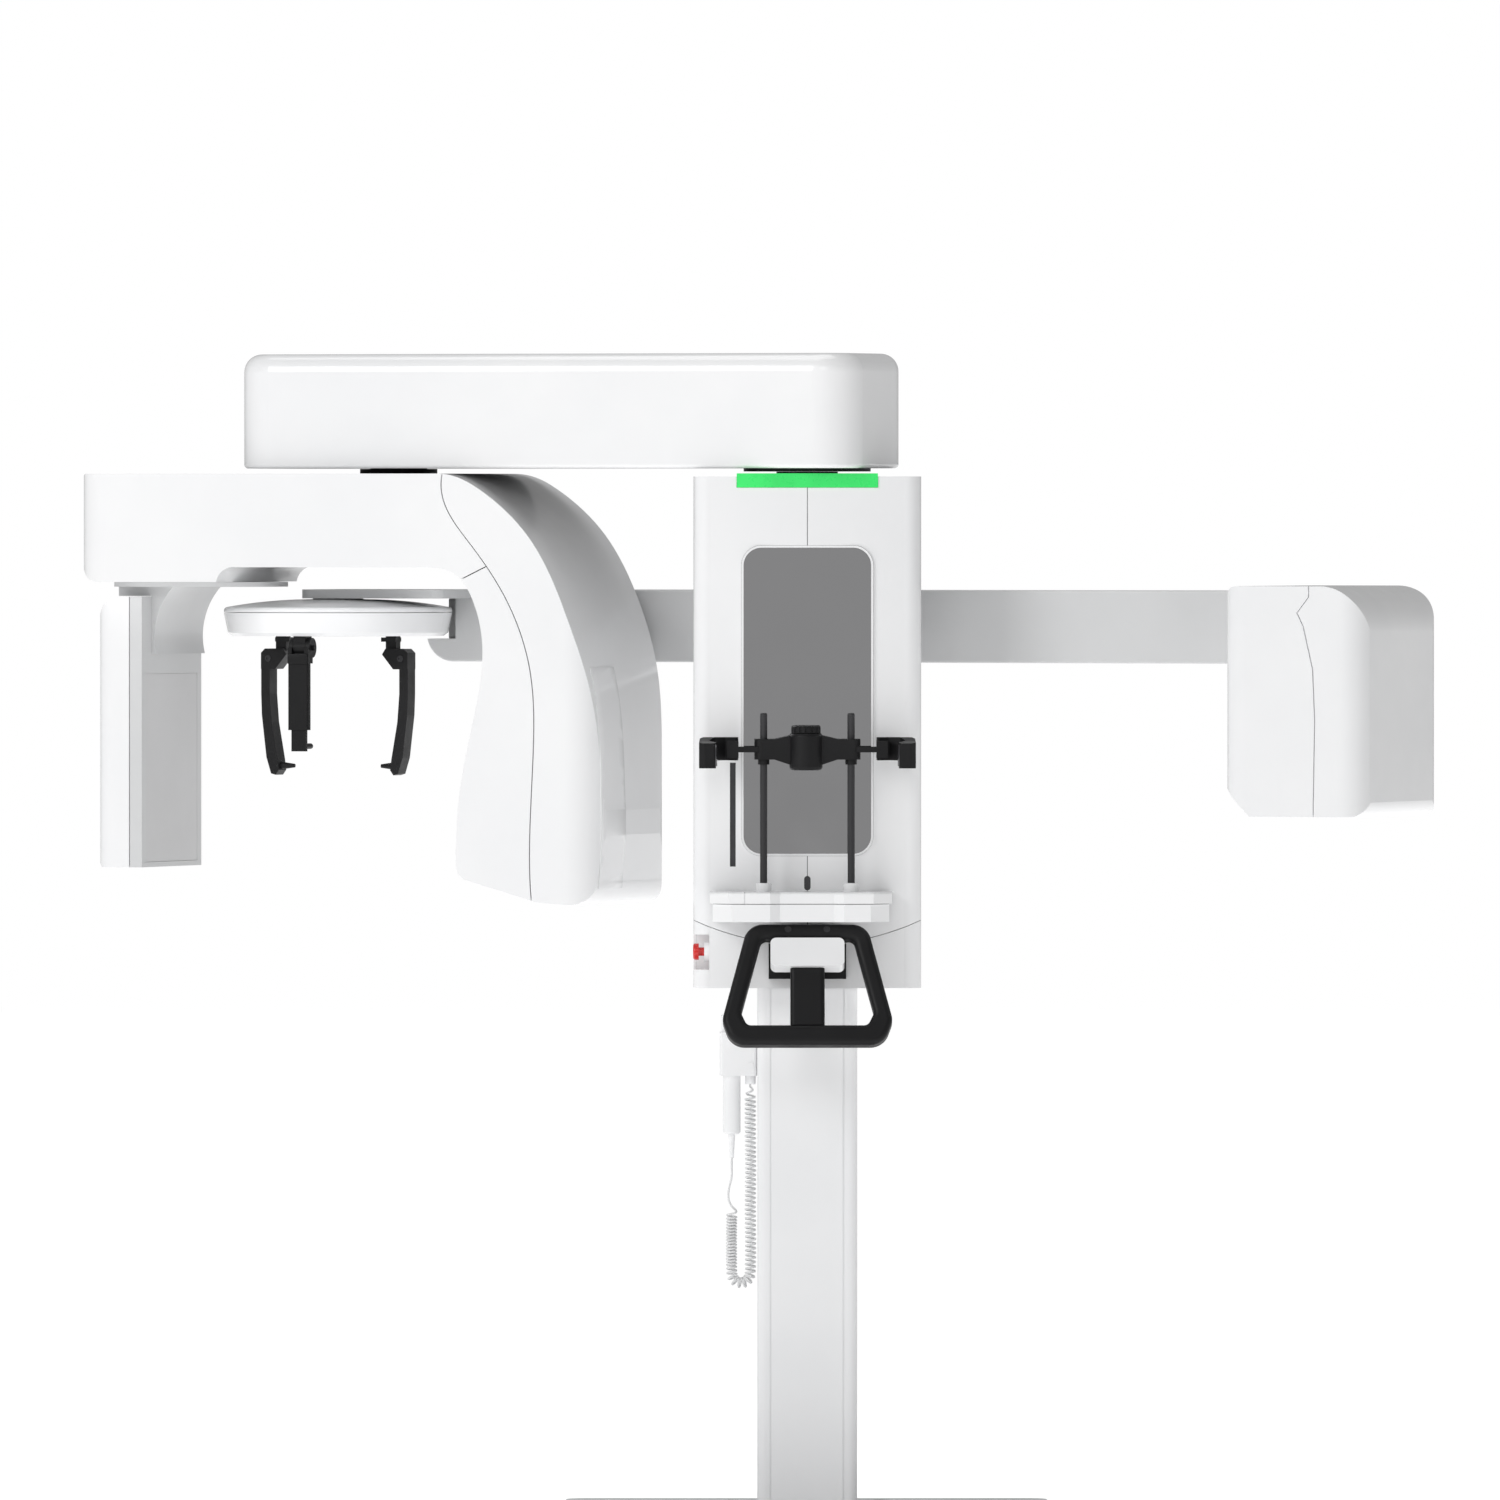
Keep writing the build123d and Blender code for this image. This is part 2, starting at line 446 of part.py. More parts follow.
# ---------- cephalometric arm, tube head and head support ----------
def build_ceph():
    neck_s, under_z = HEAD_S + HEAD_R - 12.5, HEAD_BOTTOM - 3
    end_s = TUBE_S0 + 110
    edge = Line((neck_s, CEPH_Z1), (end_s, CEPH_Z1)) + Line((end_s, CEPH_Z1), (end_s, CEPH_Z0))
    edge += Line((end_s, CEPH_Z0), (CEPH_S0 + 46, CEPH_Z0))
    edge += ThreePointArc((CEPH_S0 + 46, CEPH_Z0), (CEPH_S0 + 19, CEPH_Z0 + 10), (CEPH_S0 + 6, under_z))
    edge += Line((CEPH_S0 + 6, under_z), (neck_s, under_z)) + Line((neck_s, under_z), (neck_s, CEPH_Z1))
    arm = side_prism(edge, CEPH_B0, CEPH_B1)
    arm = fillet(arm.edges().filter_by(Axis.X).filter_by(lambda e: e.length > 900), 3)
    arm -= block(neck_s + 30, TUBE_S0 + 111, CEPH_B0 + WALL, CEPH_B1 - WALL, CEPH_Z0 + WALL, CEPH_Z1 - WALL)
    carrier_z = HEAD_TOP + 1.4
    arm += slab(HEAD_S - 37, neck_s + 30, 40, CEPH_B1, carrier_z, CEPH_Z1, 14)
    arm += disc(HEAD_S, HEAD_B, HEAD_TOP - 1, carrier_z, 36) + disc(HEAD_S, HEAD_B, 1254.6, HEAD_TOP, 20)
    save("ceph_arm", arm, upper=True)

    def tube_solid(inset):
        s0, s1, z0, z1 = TUBE_S0 + inset, TUBE_S1 - inset, TUBE_Z0 + inset, TUBE_Z1 - inset
        big, small = 62.0 - inset, 20.0 - inset
        slant = 22.0
        lines = Line((s0 + small, z1), (s1 - big, z1))
        lines += ThreePointArc((s1 - big, z1), (s1 - big * 0.293, z1 - big * 0.293), (s1, z1 - big))
        lines += Line((s1, z1 - big), (s1, z0 + small))
        lines += ThreePointArc((s1, z0 + small), (s1 - small * 0.293, z0 + small * 0.293), (s1 - small, z0))
        lines += Line((s1 - small, z0), (s0 + slant + small, z0))
        lines += Line((s0 + slant + small, z0), (s0, z0 + slant + small))
        lines += Line((s0, z0 + slant + small), (s0, z1 - small))
        lines += ThreePointArc((s0, z1 - small), (s0 + small * 0.293, z1 - small * 0.293), (s0 + small, z1))
        body = side_prism(lines, TUBE_B0 + inset, TUBE_B1 - inset)
        plan = slab(s0, s1, TUBE_B0 + inset, TUBE_B1 - inset, z0 - 1, z1 + 1, 34 - inset)
        return body & plan
    shell = tube_solid(0) - tube_solid(WALL)
    port_b, port_z = HEAD_B, 1047.0
    shell -= block(TUBE_S0 - 1, TUBE_S0 + WALL + 1, port_b - 30, port_b + 30, port_z - 9.3, port_z + 108)
    shell -= block(TUBE_S0 - 1, TUBE_S0 + 24, CEPH_B0, CEPH_B1, CEPH_Z0, CEPH_Z1)
    split = 779.0
    far = Polyline((split - 9, 1400), (split - 9, 1290), (split - 26, 1268), (split - 17, 1250),
                   (split - 3, 1190),
                   (split, 1120), (split - 2, 1000), (split - 2, 900), (1000, 900), (1000, 1400), close=True)
    far_zone = side_prism(far, -200, 400)
    save("ceph_tube_outer_cover", shell & far_zone, upper=True)
    lip = tube_solid(WALL) - tube_solid(WALL + LIP_T)
    lip &= Pos(-ARM_SEAM - LIP_W, 0, 0) * far_zone - Pos(LIP_W, 0, 0) * far_zone
    save("ceph_tube_inner_cover", (shell - Pos(-ARM_SEAM, 0, 0) * far_zone) + lip, upper=True)
    tank_s0 = TUBE_S0 + WALL + 8
    tank = slab(tank_s0, tank_s0 + 150, 20, 216, port_z - 10, CEPH_Z0, 14)
    tank += block(TUBE_S0 + 0.8, tank_s0 + 20, port_b - 29.7, port_b + 29.7, port_z - 9, port_z + 107.7)
    save("ceph_xray_tank", tank, upper=True)

    # fixed upper half of the round head, and the turning lower half with ear arms and forehead support
    r = HEAD_R
    split_top = HEAD_PART_Z + 0.4
    top_edges = Line((0, HEAD_TOP), (40, HEAD_TOP))
    top_edges += ThreePointArc((40, HEAD_TOP), (112, HEAD_TOP - 4.2), (r - 4, 1273))
    top_edges += ThreePointArc((r - 4, 1273), (r - 1, 1271), (r, 1268)) + Line((r, 1268), (r, split_top))
    top_edges += Line((r, split_top), (0, split_top)) + Line((0, split_top), (0, HEAD_TOP))
    upper = revolve(make_face(Plane.XZ * top_edges), Axis.Z)
    upper -= disc(0, 0, split_top - 1, split_top + 7, r - 5)
    upper -= disc(0, 0, split_top - 1, HEAD_TOP + 1, 20) + disc(0, 0, HEAD_TOP - 1, HEAD_TOP + 1, 36)
    upper = Pos(HEAD_S, HEAD_B, 0) * upper
    save("ceph_head_upper_cover", upper, upper=True)
    split_low, rim_r = HEAD_PART_Z - 0.4, 156.0
    low_edges = Polyline((0, HEAD_BOTTOM), (150, HEAD_BOTTOM + 1.4), (rim_r, HEAD_BOTTOM + 6), (r, split_low),
                         (r - WALL, split_low), (rim_r - WALL, HEAD_BOTTOM + 9), (0, HEAD_BOTTOM + WALL),
                         close=True)
    lower = Pos(HEAD_S, HEAD_B, 0) * revolve(make_face(Plane.XZ * low_edges), Axis.Z)
    fork_b = HEAD_B - NASION_B
    lower -= block(HEAD_S - 9, HEAD_S + 9, fork_b, fork_b + 24, HEAD_BOTTOM - 1, HEAD_BOTTOM + 20)
    post_half = 8.0
    for sign in (-1, 1):
        inner = HEAD_S + sign * (EAR_S - EAR_IN - post_half - 1)
        outer = HEAD_S + sign * (EAR_S + EAR_OUT + post_half + 1)
        s0, s1 = sorted((inner, outer))
        lower -= block(s0, s1, HEAD_B - 8.5, HEAD_B + 8.5, HEAD_BOTTOM - 1, HEAD_BOTTOM + 12)
    save("ceph_head_lower_cover", lower, upper=True)
    rotor = disc(HEAD_S, HEAD_B, 1254, 1264, 146) - disc(HEAD_S, HEAD_B, 1253, 1265, 20 + FIT)
    for b in (HEAD_B - 22, HEAD_B + 12):
        rotor += block(HEAD_S - 130, HEAD_S + 130, b, b + 10, 1240, 1254)
    save("ceph_head_rotor", rotor + nasion_bracket(), upper=True)
    for name, sign in (("ear_arm_left", -1), ("ear_arm_right", 1)):
        save(name, Pos(HEAD_S, HEAD_B, 0) * ear_arm(sign), upper=True)
    build_nasion()


def ear_arm(sign):
    """One ear arm: runner, post, block, arm that leans inward, ear rod. Drawn for the right side."""
    runner = block(EAR_S - 14, EAR_S + 14, -11.5, 11.5, 1240, 1250)
    post = block(EAR_S - 8, EAR_S + 8, -8, 8, 1212, 1240)
    flange = block(EAR_S - 14, EAR_S + 8, -11, 11, 1224, 1230)
    knuckle = Polyline((73, 1206), (78, 1214), (106, 1214), (112, 1208), (112, 1185), (90, 1185), close=True)
    outline = Polyline((112, 1208), (112, 1150), (111, 1120), (104, 1060), (97, 1037), (90, 1035), (85, 1042),
                       (87, 1058), (96, 1110), (99, 1150), (99, 1208), close=True)
    body = side_prism(knuckle, -15, 15) + side_prism(outline, -14, 14)
    body = body + runner + post + flange
    rod = Pos(78, 0, 1048) * Rot(0, -90, 0) * Cone(6.0, 2.6, 24)
    body += rod
    return body if sign > 0 else body.mirror(Plane.YZ)


def nasion_bracket():
    """Fork that the forehead support hangs from, fixed to the turning plate of the head."""
    bracket = block(-9, 9, 0, 24, NASION_PIN_Z - 10, 1254) + across(-9, 9, 12, NASION_PIN_Z, 14)
    bracket -= across(-21, 21, 12, NASION_PIN_Z, 4 + FIT)
    return Pos(HEAD_S, HEAD_B - NASION_B, 0) * bracket


def build_nasion():
    """Forehead support: swinging plate with its pivot pin, sliding lower plate with its pad pin."""
    place = Pos(HEAD_S, HEAD_B - NASION_B, 0)
    hinge_z = NASION_PIN_Z
    plate = slab(-15.5, 15.5, -6, 6, 1100, hinge_z - 17, 3) - block(-11.3, 11.3, -3.3, 3.3, 1099, 1172)
    plate += across(-19, 19, 12, hinge_z, 4)
    for x in (-15.5, 9.5):
        plate += block(x, x + 6, -6, 12, hinge_z - 22, hinge_z) + across(x, x + 6, 12, hinge_z, 14)
    save("nasion_plate", place * plate, upper=True)
    slide = block(-11, 11, -3, 3, 1070, 1140) + along_y(0, 2, 44, 1077, 4)
    slide = fillet(slide.edges().sort_by(Axis.Y)[-1:], 3)
    save("nasion_slide", place * slide, upper=True)


# ---------- shelf ----------
def build_shelf():
    body = slab(SHELF_S0, SHELF_S1, -SHELF_HALF, SHELF_HALF, SHELF_Z0, SHELF_Z1, 55)
    body = fillet(body.faces().sort_by(Axis.Z)[-1].edges(), 25)
    body = fillet(body.faces().sort_by(Axis.Z)[0].edges(), 6)
    core = slab(SHELF_S0 + WALL, SHELF_S1 - WALL, -SHELF_HALF + WALL, SHELF_HALF - WALL,
                SHELF_Z0 - 1, SHELF_Z1 - WALL, 55 - WALL)
    core = fillet(core.faces().sort_by(Axis.Z)[-1].edges(), 25 - WALL)
    cover = body - core
    save("shelf_cover", cover, upper=True)
    edge = WALL + 0.1
    plate = slab(SHELF_S0 + edge, SHELF_S1 - edge, -SHELF_HALF + edge, SHELF_HALF - edge,
                 SHELF_Z0 + 0.6, SHELF_Z0 + SHELF_PLATE_T, 55 - edge)
    reach = COUPLER_NECK_R + 1.0
    slot = slab(AXIS_S - SLIDE_TRAVEL - reach, AXIS_S + reach, -reach, reach,
                SHELF_Z0 - 1, SHELF_Z0 + SHELF_PLATE_T + 1, reach - 0.01)
    frame = plate - slot + disc(0, 0, 1464.4, SHELF_Z0 + 2, 89)
    plate_top = SHELF_Z0 + SHELF_PLATE_T
    for b in (-76, 62):
        frame += block(SHELF_S0 + 60, -20, b, b + 14, plate_top, plate_top + 16)
    for b in (-104, 96):
        frame += block(SHELF_S0 + 40, SHELF_S1 - 40, b, b + 8, plate_top, plate_top + 110)
    frame += disc(0, 0, plate_top, plate_top + 60, 55)
    save("shelf_frame", frame, upper=True)
    # slide that carries the rotating unit
    z = plate_top + 16 + FIT
    ring_bore = COUPLER_SHAFT_R + FIT
    slide = slab(AXIS_S - 80, AXIS_S + 80, -78, 78, z, z + 14, 10) - disc(AXIS_S, 0, z - 1, z + 15, ring_bore)
    neck = disc(AXIS_S, 0, SHELF_Z0 - FIT, z, COUPLER_NECK_R)
    neck += disc(AXIS_S, 0, COUPLER_Z0, SHELF_Z0 - FIT, COUPLER_R)
    neck -= disc(AXIS_S, 0, COUPLER_Z0 - 1, z + 1, ring_bore)
    save("slide_coupler", slide + neck, upper=True)
    shaft = disc(AXIS_S, 0, ARM_TOP - WALL, z + 14 + FIT, COUPLER_SHAFT_R)
    shaft += disc(AXIS_S, 0, z + 14 + FIT, z + 24, COUPLER_SHAFT_R + 9)
    return shaft


# ---------- rotating unit ----------
def moved_spline(curve, count, inset):
    """Copy of a curve moved to its right-hand side by inset."""
    points = []
    for i in range(count + 1):
        way = curve % (i / count)
        points.append(curve @ (i / count) + Vector(way.Y, -way.X, 0) * inset)
    return Spline(*points, tangents=[curve % 0, curve % 1])


def arm_outline(inset):
    """C-arm seen from the front: beam with the tube head curving down at its right end."""
    s0, top, low, step = ARM_S0 + inset, ARM_TOP - inset, ARM_BOTTOM + inset, ARM_STEP + inset
    r_top, r_low = 12.0 - inset, 36.0 - inset
    outer = Spline((-500, ARM_TOP), (-437, 1441), (-363, 1376), (-302, 1258), (-268, 1115), (-262, 990),
                   (-267, 890), tangents=[(1, 0), (-0.08, -1)])
    inner = Spline((-470, 912), (-466, 1000), (-444, 1115), (-430, 1224), (-449, 1294), (-512, ARM_STEP),
                   tangents=[(0, 1), (-1, 0)])
    outer = moved_spline(outer, 10, inset) if inset else outer
    inner = moved_spline(inner, 10, inset) if inset else inner
    a, b, c = outer @ 1, inner @ 0, inner @ 1
    base = 858.0 + inset
    lines = Line((s0 + r_top, top), outer @ 0) + outer
    lines += ThreePointArc(a, (a.X - 9, base + 9), (a.X - 30, base))
    lines += Line((a.X - 30, base), (-347, base + 3))
    lines += Line((-347, base + 3), (b.X + 14, b.Y - 20))
    lines += ThreePointArc((b.X + 14, b.Y - 20), (b.X + 4, b.Y - 12), (b.X, b.Y))
    lines += inner + Line((c.X, c.Y), (-803, step))
    lines += ThreePointArc((-803, step), (-822 - inset, step - 4), (-833 - inset, low))
    lines += Line((-833 - inset, low), (s0 + r_low, low))
    lines += ThreePointArc((s0 + r_low, low), (s0 + r_low * 0.293, low + r_low * 0.293), (s0, low + r_low))
    lines += Line((s0, low + r_low), (s0, top - r_top))
    lines += ThreePointArc((s0, top - r_top), (s0 + r_top * 0.293, top - r_top * 0.293), (s0 + r_top, top))
    return lines


def arm_solid(inset):
    body = side_prism(arm_outline(inset), -ARM_HALF + inset, ARM_HALF - inset)
    plan = slab(ARM_S0 + inset, -262 - inset, -ARM_HALF + inset, ARM_HALF - inset, 800, 1500, 46 - inset)
    return body & plan


def build_rotating_unit(shaft):
    shell = arm_solid(0) - arm_solid(WALL)
    shell -= disc(AXIS_S, 0, ARM_TOP - WALL - 1, ARM_TOP + 1, COUPLER_SHAFT_R + 1)
    shell -= disc(TABLE_S, 0, ARM_BOTTOM - 1, ARM_BOTTOM + WALL + 1, 34)
    # joint line between the C-arm covers, drawn once and used for all three
    seam = Spline((-471, 1500), (-485, 1417), (-445, 1360), (-393, 1285), (-358, 1190), (-352, 1080),
                  (-358, 920), (-349, 820))
    far = side_prism(seam + Line((-349, 820), (-200, 820)) + Line((-200, 820), (-200, 1500))
                     + Line((-200, 1500), (-471, 1500)), -200, 200)
    foot = side_prism(Polyline((-500, 1295), (-461, 1313), (-400, 1342), (-300, 1342), (-300, 800),
                               (-500, 800), close=True), -200, 200)
    near = shell - Pos(-ARM_SEAM, 0, 0) * far
    window_z0, window_z1 = 990.0, 1110.0
    window = block(-480, -440, -34, 34, window_z0, window_z1)
    save("carm_outer_cover", shell & far, upper=True)
    save("carm_beam_cover", near - Pos(0, 0, ARM_SEAM) * foot, upper=True)
    save("tube_head_inner_cover", (near & foot) - window, upper=True)
    pane_z0, pane_z1 = window_z0 + 0.2, window_z1 - 0.2
    glass = side_prism(Polyline((-465.5, pane_z0), (-445.2, pane_z1), (-442.4, pane_z1), (-462.7, pane_z0),
                                close=True), -33.8, 33.8)
    save("tube_window", glass, upper=True)
    tank = slab(-420, -306, -88, 88, 950, 1210, 16) + slab(-436, -415, -45, 45, 1020, 1105, 6)
    save("tube_tank", tank, upper=True)
    beam_top = ARM_TOP - WALL
    beam_low = beam_top - 60
    spine = block(-1000, -520, -50, 50, beam_low, beam_top)
    spine += side_prism(Polyline((-521, beam_top), (-510, beam_top), (-440, 1420), (-340, 1290), (-340, 1210),
                                 (-400, 1210), (-400, 1290), (-521, beam_low), close=True), -30, 30)
    spine += disc(TABLE_S, 0, ARM_BOTTOM + WALL, beam_low + 1, 60)
    spine -= disc(TABLE_S, 0, 1300, beam_low, 30 + FIT)
    save("carm_frame", spine + shaft, upper=True)

    # sensor head, which turns on the table under the arm
    table_top = ARM_BOTTOM - FIT
    table = disc(TABLE_S, 0, table_top - TABLE_T, table_top, TABLE_R)
    table += disc(TABLE_S, 0, table_top, 1380, 30)
    save("sensor_table", table, upper=True)
    face = SENSOR_S1
    under = table_top - TABLE_T
    web_b0, web_b1 = -74.0, 104.0
    lines = Line((face - 50, under), (face + 33, under))
    lines += ThreePointArc((face + 33, under), (face + 15, under - 26), (face + 8, 1207))
    lines += Line((face + 8, 1207), (face, 1207)) + Line((face, 1207), (face, SENSOR_Z1 + 1))
    lines += Line((face, SENSOR_Z1 + 1), (face - 50, SENSOR_Z1 + 1))
    lines += Line((face - 50, SENSOR_Z1 + 1), (face - 50, under))
    save("sensor_bracket", side_prism(lines, web_b0, web_b1), upper=True)
    s0, s1, h, z0, z1 = SENSOR_S0, SENSOR_S1, SENSOR_HALF, SENSOR_Z0, SENSOR_Z1
    def sensor_solid(inset):
        a, c, lo, hi, big = s0 + inset, s1 - inset, z0 + inset, z1 - inset, 40.0 - inset
        edge = Line((a + big, hi), (c, hi)) + Line((c, hi), (c, lo)) + Line((c, lo), (a + 8, lo))
        edge += Line((a + 8, lo), (a, lo + 8)) + Line((a, lo + 8), (a, hi - big))
        edge += ThreePointArc((a, hi - big), (a + big * 0.293, hi - big * 0.293), (a + big, hi))
        body = side_prism(edge, -h + inset, h - inset)
        return body & slab(a, c + 30, -h + inset, h - inset, lo - 1, hi + 1, 26 - inset)
    shell = sensor_solid(0) - sensor_solid(WALL)
    cut = s1 - 18
    save("sensor_outer_cover", shell & block(s0 - 5, cut - ARM_SEAM, -200, 200, 800, 1400), upper=True)
    inner = shell & block(cut, s1 + 5, -200, 200, 800, 1400)
    pz0, pz1, ph = 913.0, 1179.0, 95.0
    inner -= block(s1 - WALL - 1, s1 + 1, -ph, ph, pz0, pz1)
    lip = sensor_solid(WALL) - sensor_solid(WALL + LIP_T)
    inner += lip & block(cut - ARM_SEAM - LIP_W, cut + LIP_W, -200, 200, 800, 1400)
    save("sensor_inner_cover", inner, upper=True)
    panel = block(s1 - WALL, s1 - 0.6, -ph + 0.3, ph - 0.3, pz0 + 0.3, pz1 - 0.3)
    save("sensor_panel", panel, upper=True)
    save("sensor_detector", slab(s0 + 14, s1 - WALL, -85, 85, 930, 1170, 4), upper=True)


os.makedirs("parts", exist_ok=True)
foot, foot_top = build_base()
mast_top = build_column(foot, foot_top)
build_switch()
build_carriage(mast_top)
build_patient_support()
build_ceph()
build_rotating_unit(build_shelf())
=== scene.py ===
"""Looks of a panoramic x-ray machine with a skull-imaging arm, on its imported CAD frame."""
import logging
import math
from dataclasses import dataclass
from enum import Enum

import bpy
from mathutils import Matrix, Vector


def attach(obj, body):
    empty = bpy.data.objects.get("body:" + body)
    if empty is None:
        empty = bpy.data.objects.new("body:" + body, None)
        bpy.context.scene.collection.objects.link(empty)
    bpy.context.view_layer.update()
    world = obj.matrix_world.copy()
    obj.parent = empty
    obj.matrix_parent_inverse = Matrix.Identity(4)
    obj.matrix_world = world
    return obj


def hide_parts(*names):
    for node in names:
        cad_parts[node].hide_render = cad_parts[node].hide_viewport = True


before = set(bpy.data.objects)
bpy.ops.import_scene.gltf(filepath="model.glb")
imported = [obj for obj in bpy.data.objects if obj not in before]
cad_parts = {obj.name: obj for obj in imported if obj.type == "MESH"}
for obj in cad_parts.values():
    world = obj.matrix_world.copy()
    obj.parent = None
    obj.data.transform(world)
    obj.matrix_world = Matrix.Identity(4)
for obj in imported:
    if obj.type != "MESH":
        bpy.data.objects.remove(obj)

logging.basicConfig(level=logging.INFO, format="%(message)s")
log = logging.getLogger("xray_machine")

Point = tuple[float, float, float]
Colour = tuple[float, float, float]
Socket = bpy.types.NodeSocket

WHITE: tuple[float, float, float, float] = (1.0, 1.0, 1.0, 1.0)


class Stretch(Enum):
    """How a surface pattern is drawn out, as scale factors along X, Y and Z."""

    EVEN = (1.0, 1.0, 1.0)
    UPRIGHT = (1.0, 1.0, 0.02)


class NodeBench:
    """Adds shader nodes to one material and joins them up."""

    middle: tuple[float, float] = (0.3, 0.7)        # the part of a pattern that a range spans
    tone_span: tuple[float, float] = (0.35, 0.65)   # the part over which two tones blend

    def __init__(self, name: str) -> None:
        """Starts an empty material.

        Args:
            name: name of the new material.
        """
        self.material = bpy.data.materials.new(name)
        self.material.use_nodes = True
        self.tree = self.material.node_tree
        self.shader = self.tree.nodes["Principled BSDF"]
        self.coords = self.tree.nodes.new("ShaderNodeTexCoord")

    def link(self, start: Socket, end: Socket) -> None:
        """Joins two sockets.

        Args:
            start: the output.
            end: the input that it feeds.
        """
        self.tree.links.new(start, end)

    def mapped(self, stretch: Stretch) -> Socket:
        """Gives object coordinates drawn out along an axis.

        Args:
            stretch: the factors along the three axes.

        Returns:
            The vector socket.
        """
        node = self.tree.nodes.new("ShaderNodeMapping")
        node.inputs["Scale"].default_value = stretch.value
        self.link(self.coords.outputs["Object"], node.inputs["Vector"])
        return node.outputs["Vector"]

    def noise(self, scale: float, detail: float, stretch: Stretch = Stretch.EVEN) -> Socket:
        """Adds a noise pattern in metres.

        Args:
            scale: patches per metre.
            detail: octaves of finer detail.
            stretch: how the pattern is drawn out.

        Returns:
            The factor socket.
        """
        node = self.tree.nodes.new("ShaderNodeTexNoise")
        node.inputs["Scale"].default_value = scale
        node.inputs["Detail"].default_value = detail
        self.link(self.mapped(stretch), node.inputs["Vector"])
        return node.outputs["Fac"]

    def grain(self, scale: float) -> Socket:
        """Adds the pebbled cells of a moulded grip.

        Args:
            scale: cells per metre.

        Returns:
            The distance socket.
        """
        node = self.tree.nodes.new("ShaderNodeTexVoronoi")
        node.inputs["Scale"].default_value = scale
        self.link(self.mapped(Stretch.EVEN), node.inputs["Vector"])
        return node.outputs["Distance"]

    def ranged(self, source: Socket, low: float, high: float) -> Socket:
        """Maps the middle of a pattern to a range.

        Args:
            source: factor socket.
            low: value where the pattern is darkest.
            high: value where it is lightest.

        Returns:
            The mapped value.
        """
        node = self.tree.nodes.new("ShaderNodeMapRange")
        node.inputs["From Min"].default_value, node.inputs["From Max"].default_value = self.middle
        node.inputs["To Min"].default_value = low
        node.inputs["To Max"].default_value = high
        self.link(source, node.inputs["Value"])
        return node.outputs["Result"]

    def toned(self, source: Socket, dark: Colour, light: Colour) -> None:
        """Colours the surface between two tones by a pattern.

        Args:
            source: factor socket.
            dark: tone at the low end.
            light: tone at the high end.
        """
        ramp = self.tree.nodes.new("ShaderNodeValToRGB")
        ends = zip(ramp.color_ramp.elements, self.tone_span, (dark, light))
        for stop, place, tone in ends:
            stop.position = place
            stop.color = (*tone, 1.0)
        self.link(source, ramp.inputs["Fac"])
        self.link(ramp.outputs["Color"], self.shader.inputs["Base Color"])

    def bumped(self, source: Socket, strength: float, depth: float) -> None:
        """Raises the surface by a pattern.

        Args:
            source: height socket.
            strength: share of the bump that shows.
            depth: height of the bump in metres.
        """
        bump = self.tree.nodes.new("ShaderNodeBump")
        bump.inputs["Strength"].default_value = strength
        bump.inputs["Distance"].default_value = depth
        self.link(source, bump.inputs["Height"])
        self.link(bump.outputs["Normal"], self.shader.inputs["Normal"])


@dataclass(frozen=True)
class Finish:
    """A surface finish with two close tones, a patchy gloss and a fine relief.

    The patch and the relief are counted per metre, and the relief's depth is in metres.
    """

    name: str
    slot: str
    dark: Colour
    light: Colour
    rough_low: float
    rough_high: float
    patch: float = 3.0
    relief: float = 900.0
    relief_depth: float = 0.00004
    stretch: Stretch = Stretch.EVEN
    metallic: float = 0.0
    coat: float = 0.0
    glow: float = 0.0
    shine: float = 0.5
    pebbled: bool = False
    coat_rough: float = 0.08
    gloss_ratio: float = 9.0
    tone_detail: float = 4.0
    gloss_detail: float = 3.0
    relief_detail: float = 2.0
    pebble_strength: float = 0.35
    relief_strength: float = 0.25

    def build(self) -> bpy.types.Material:
        """Makes the material.

        Returns:
            The finished material.
        """
        bench = NodeBench(self.name)
        shader = bench.shader
        shader.inputs["Metallic"].default_value = self.metallic
        shader.inputs["Coat Weight"].default_value = self.coat
        shader.inputs["Coat Roughness"].default_value = self.coat_rough
        shader.inputs["Specular IOR Level"].default_value = self.shine
        tones = bench.noise(self.patch, self.tone_detail, self.stretch)
        bench.toned(tones, self.dark, self.light)
        gloss = bench.noise(self.patch * self.gloss_ratio, self.gloss_detail, self.stretch)
        rough = bench.ranged(gloss, self.rough_low, self.rough_high)
        bench.link(rough, shader.inputs["Roughness"])
        if self.pebbled:
            bench.bumped(bench.grain(self.relief), self.pebble_strength, self.relief_depth)
        else:
            fine = bench.noise(self.relief, self.relief_detail, self.stretch)
            bench.bumped(fine, self.relief_strength, self.relief_depth)
        if self.glow:
            shader.inputs["Emission Color"].default_value = (*self.light, 1.0)
            shader.inputs["Emission Strength"].default_value = self.glow
        return bench.material


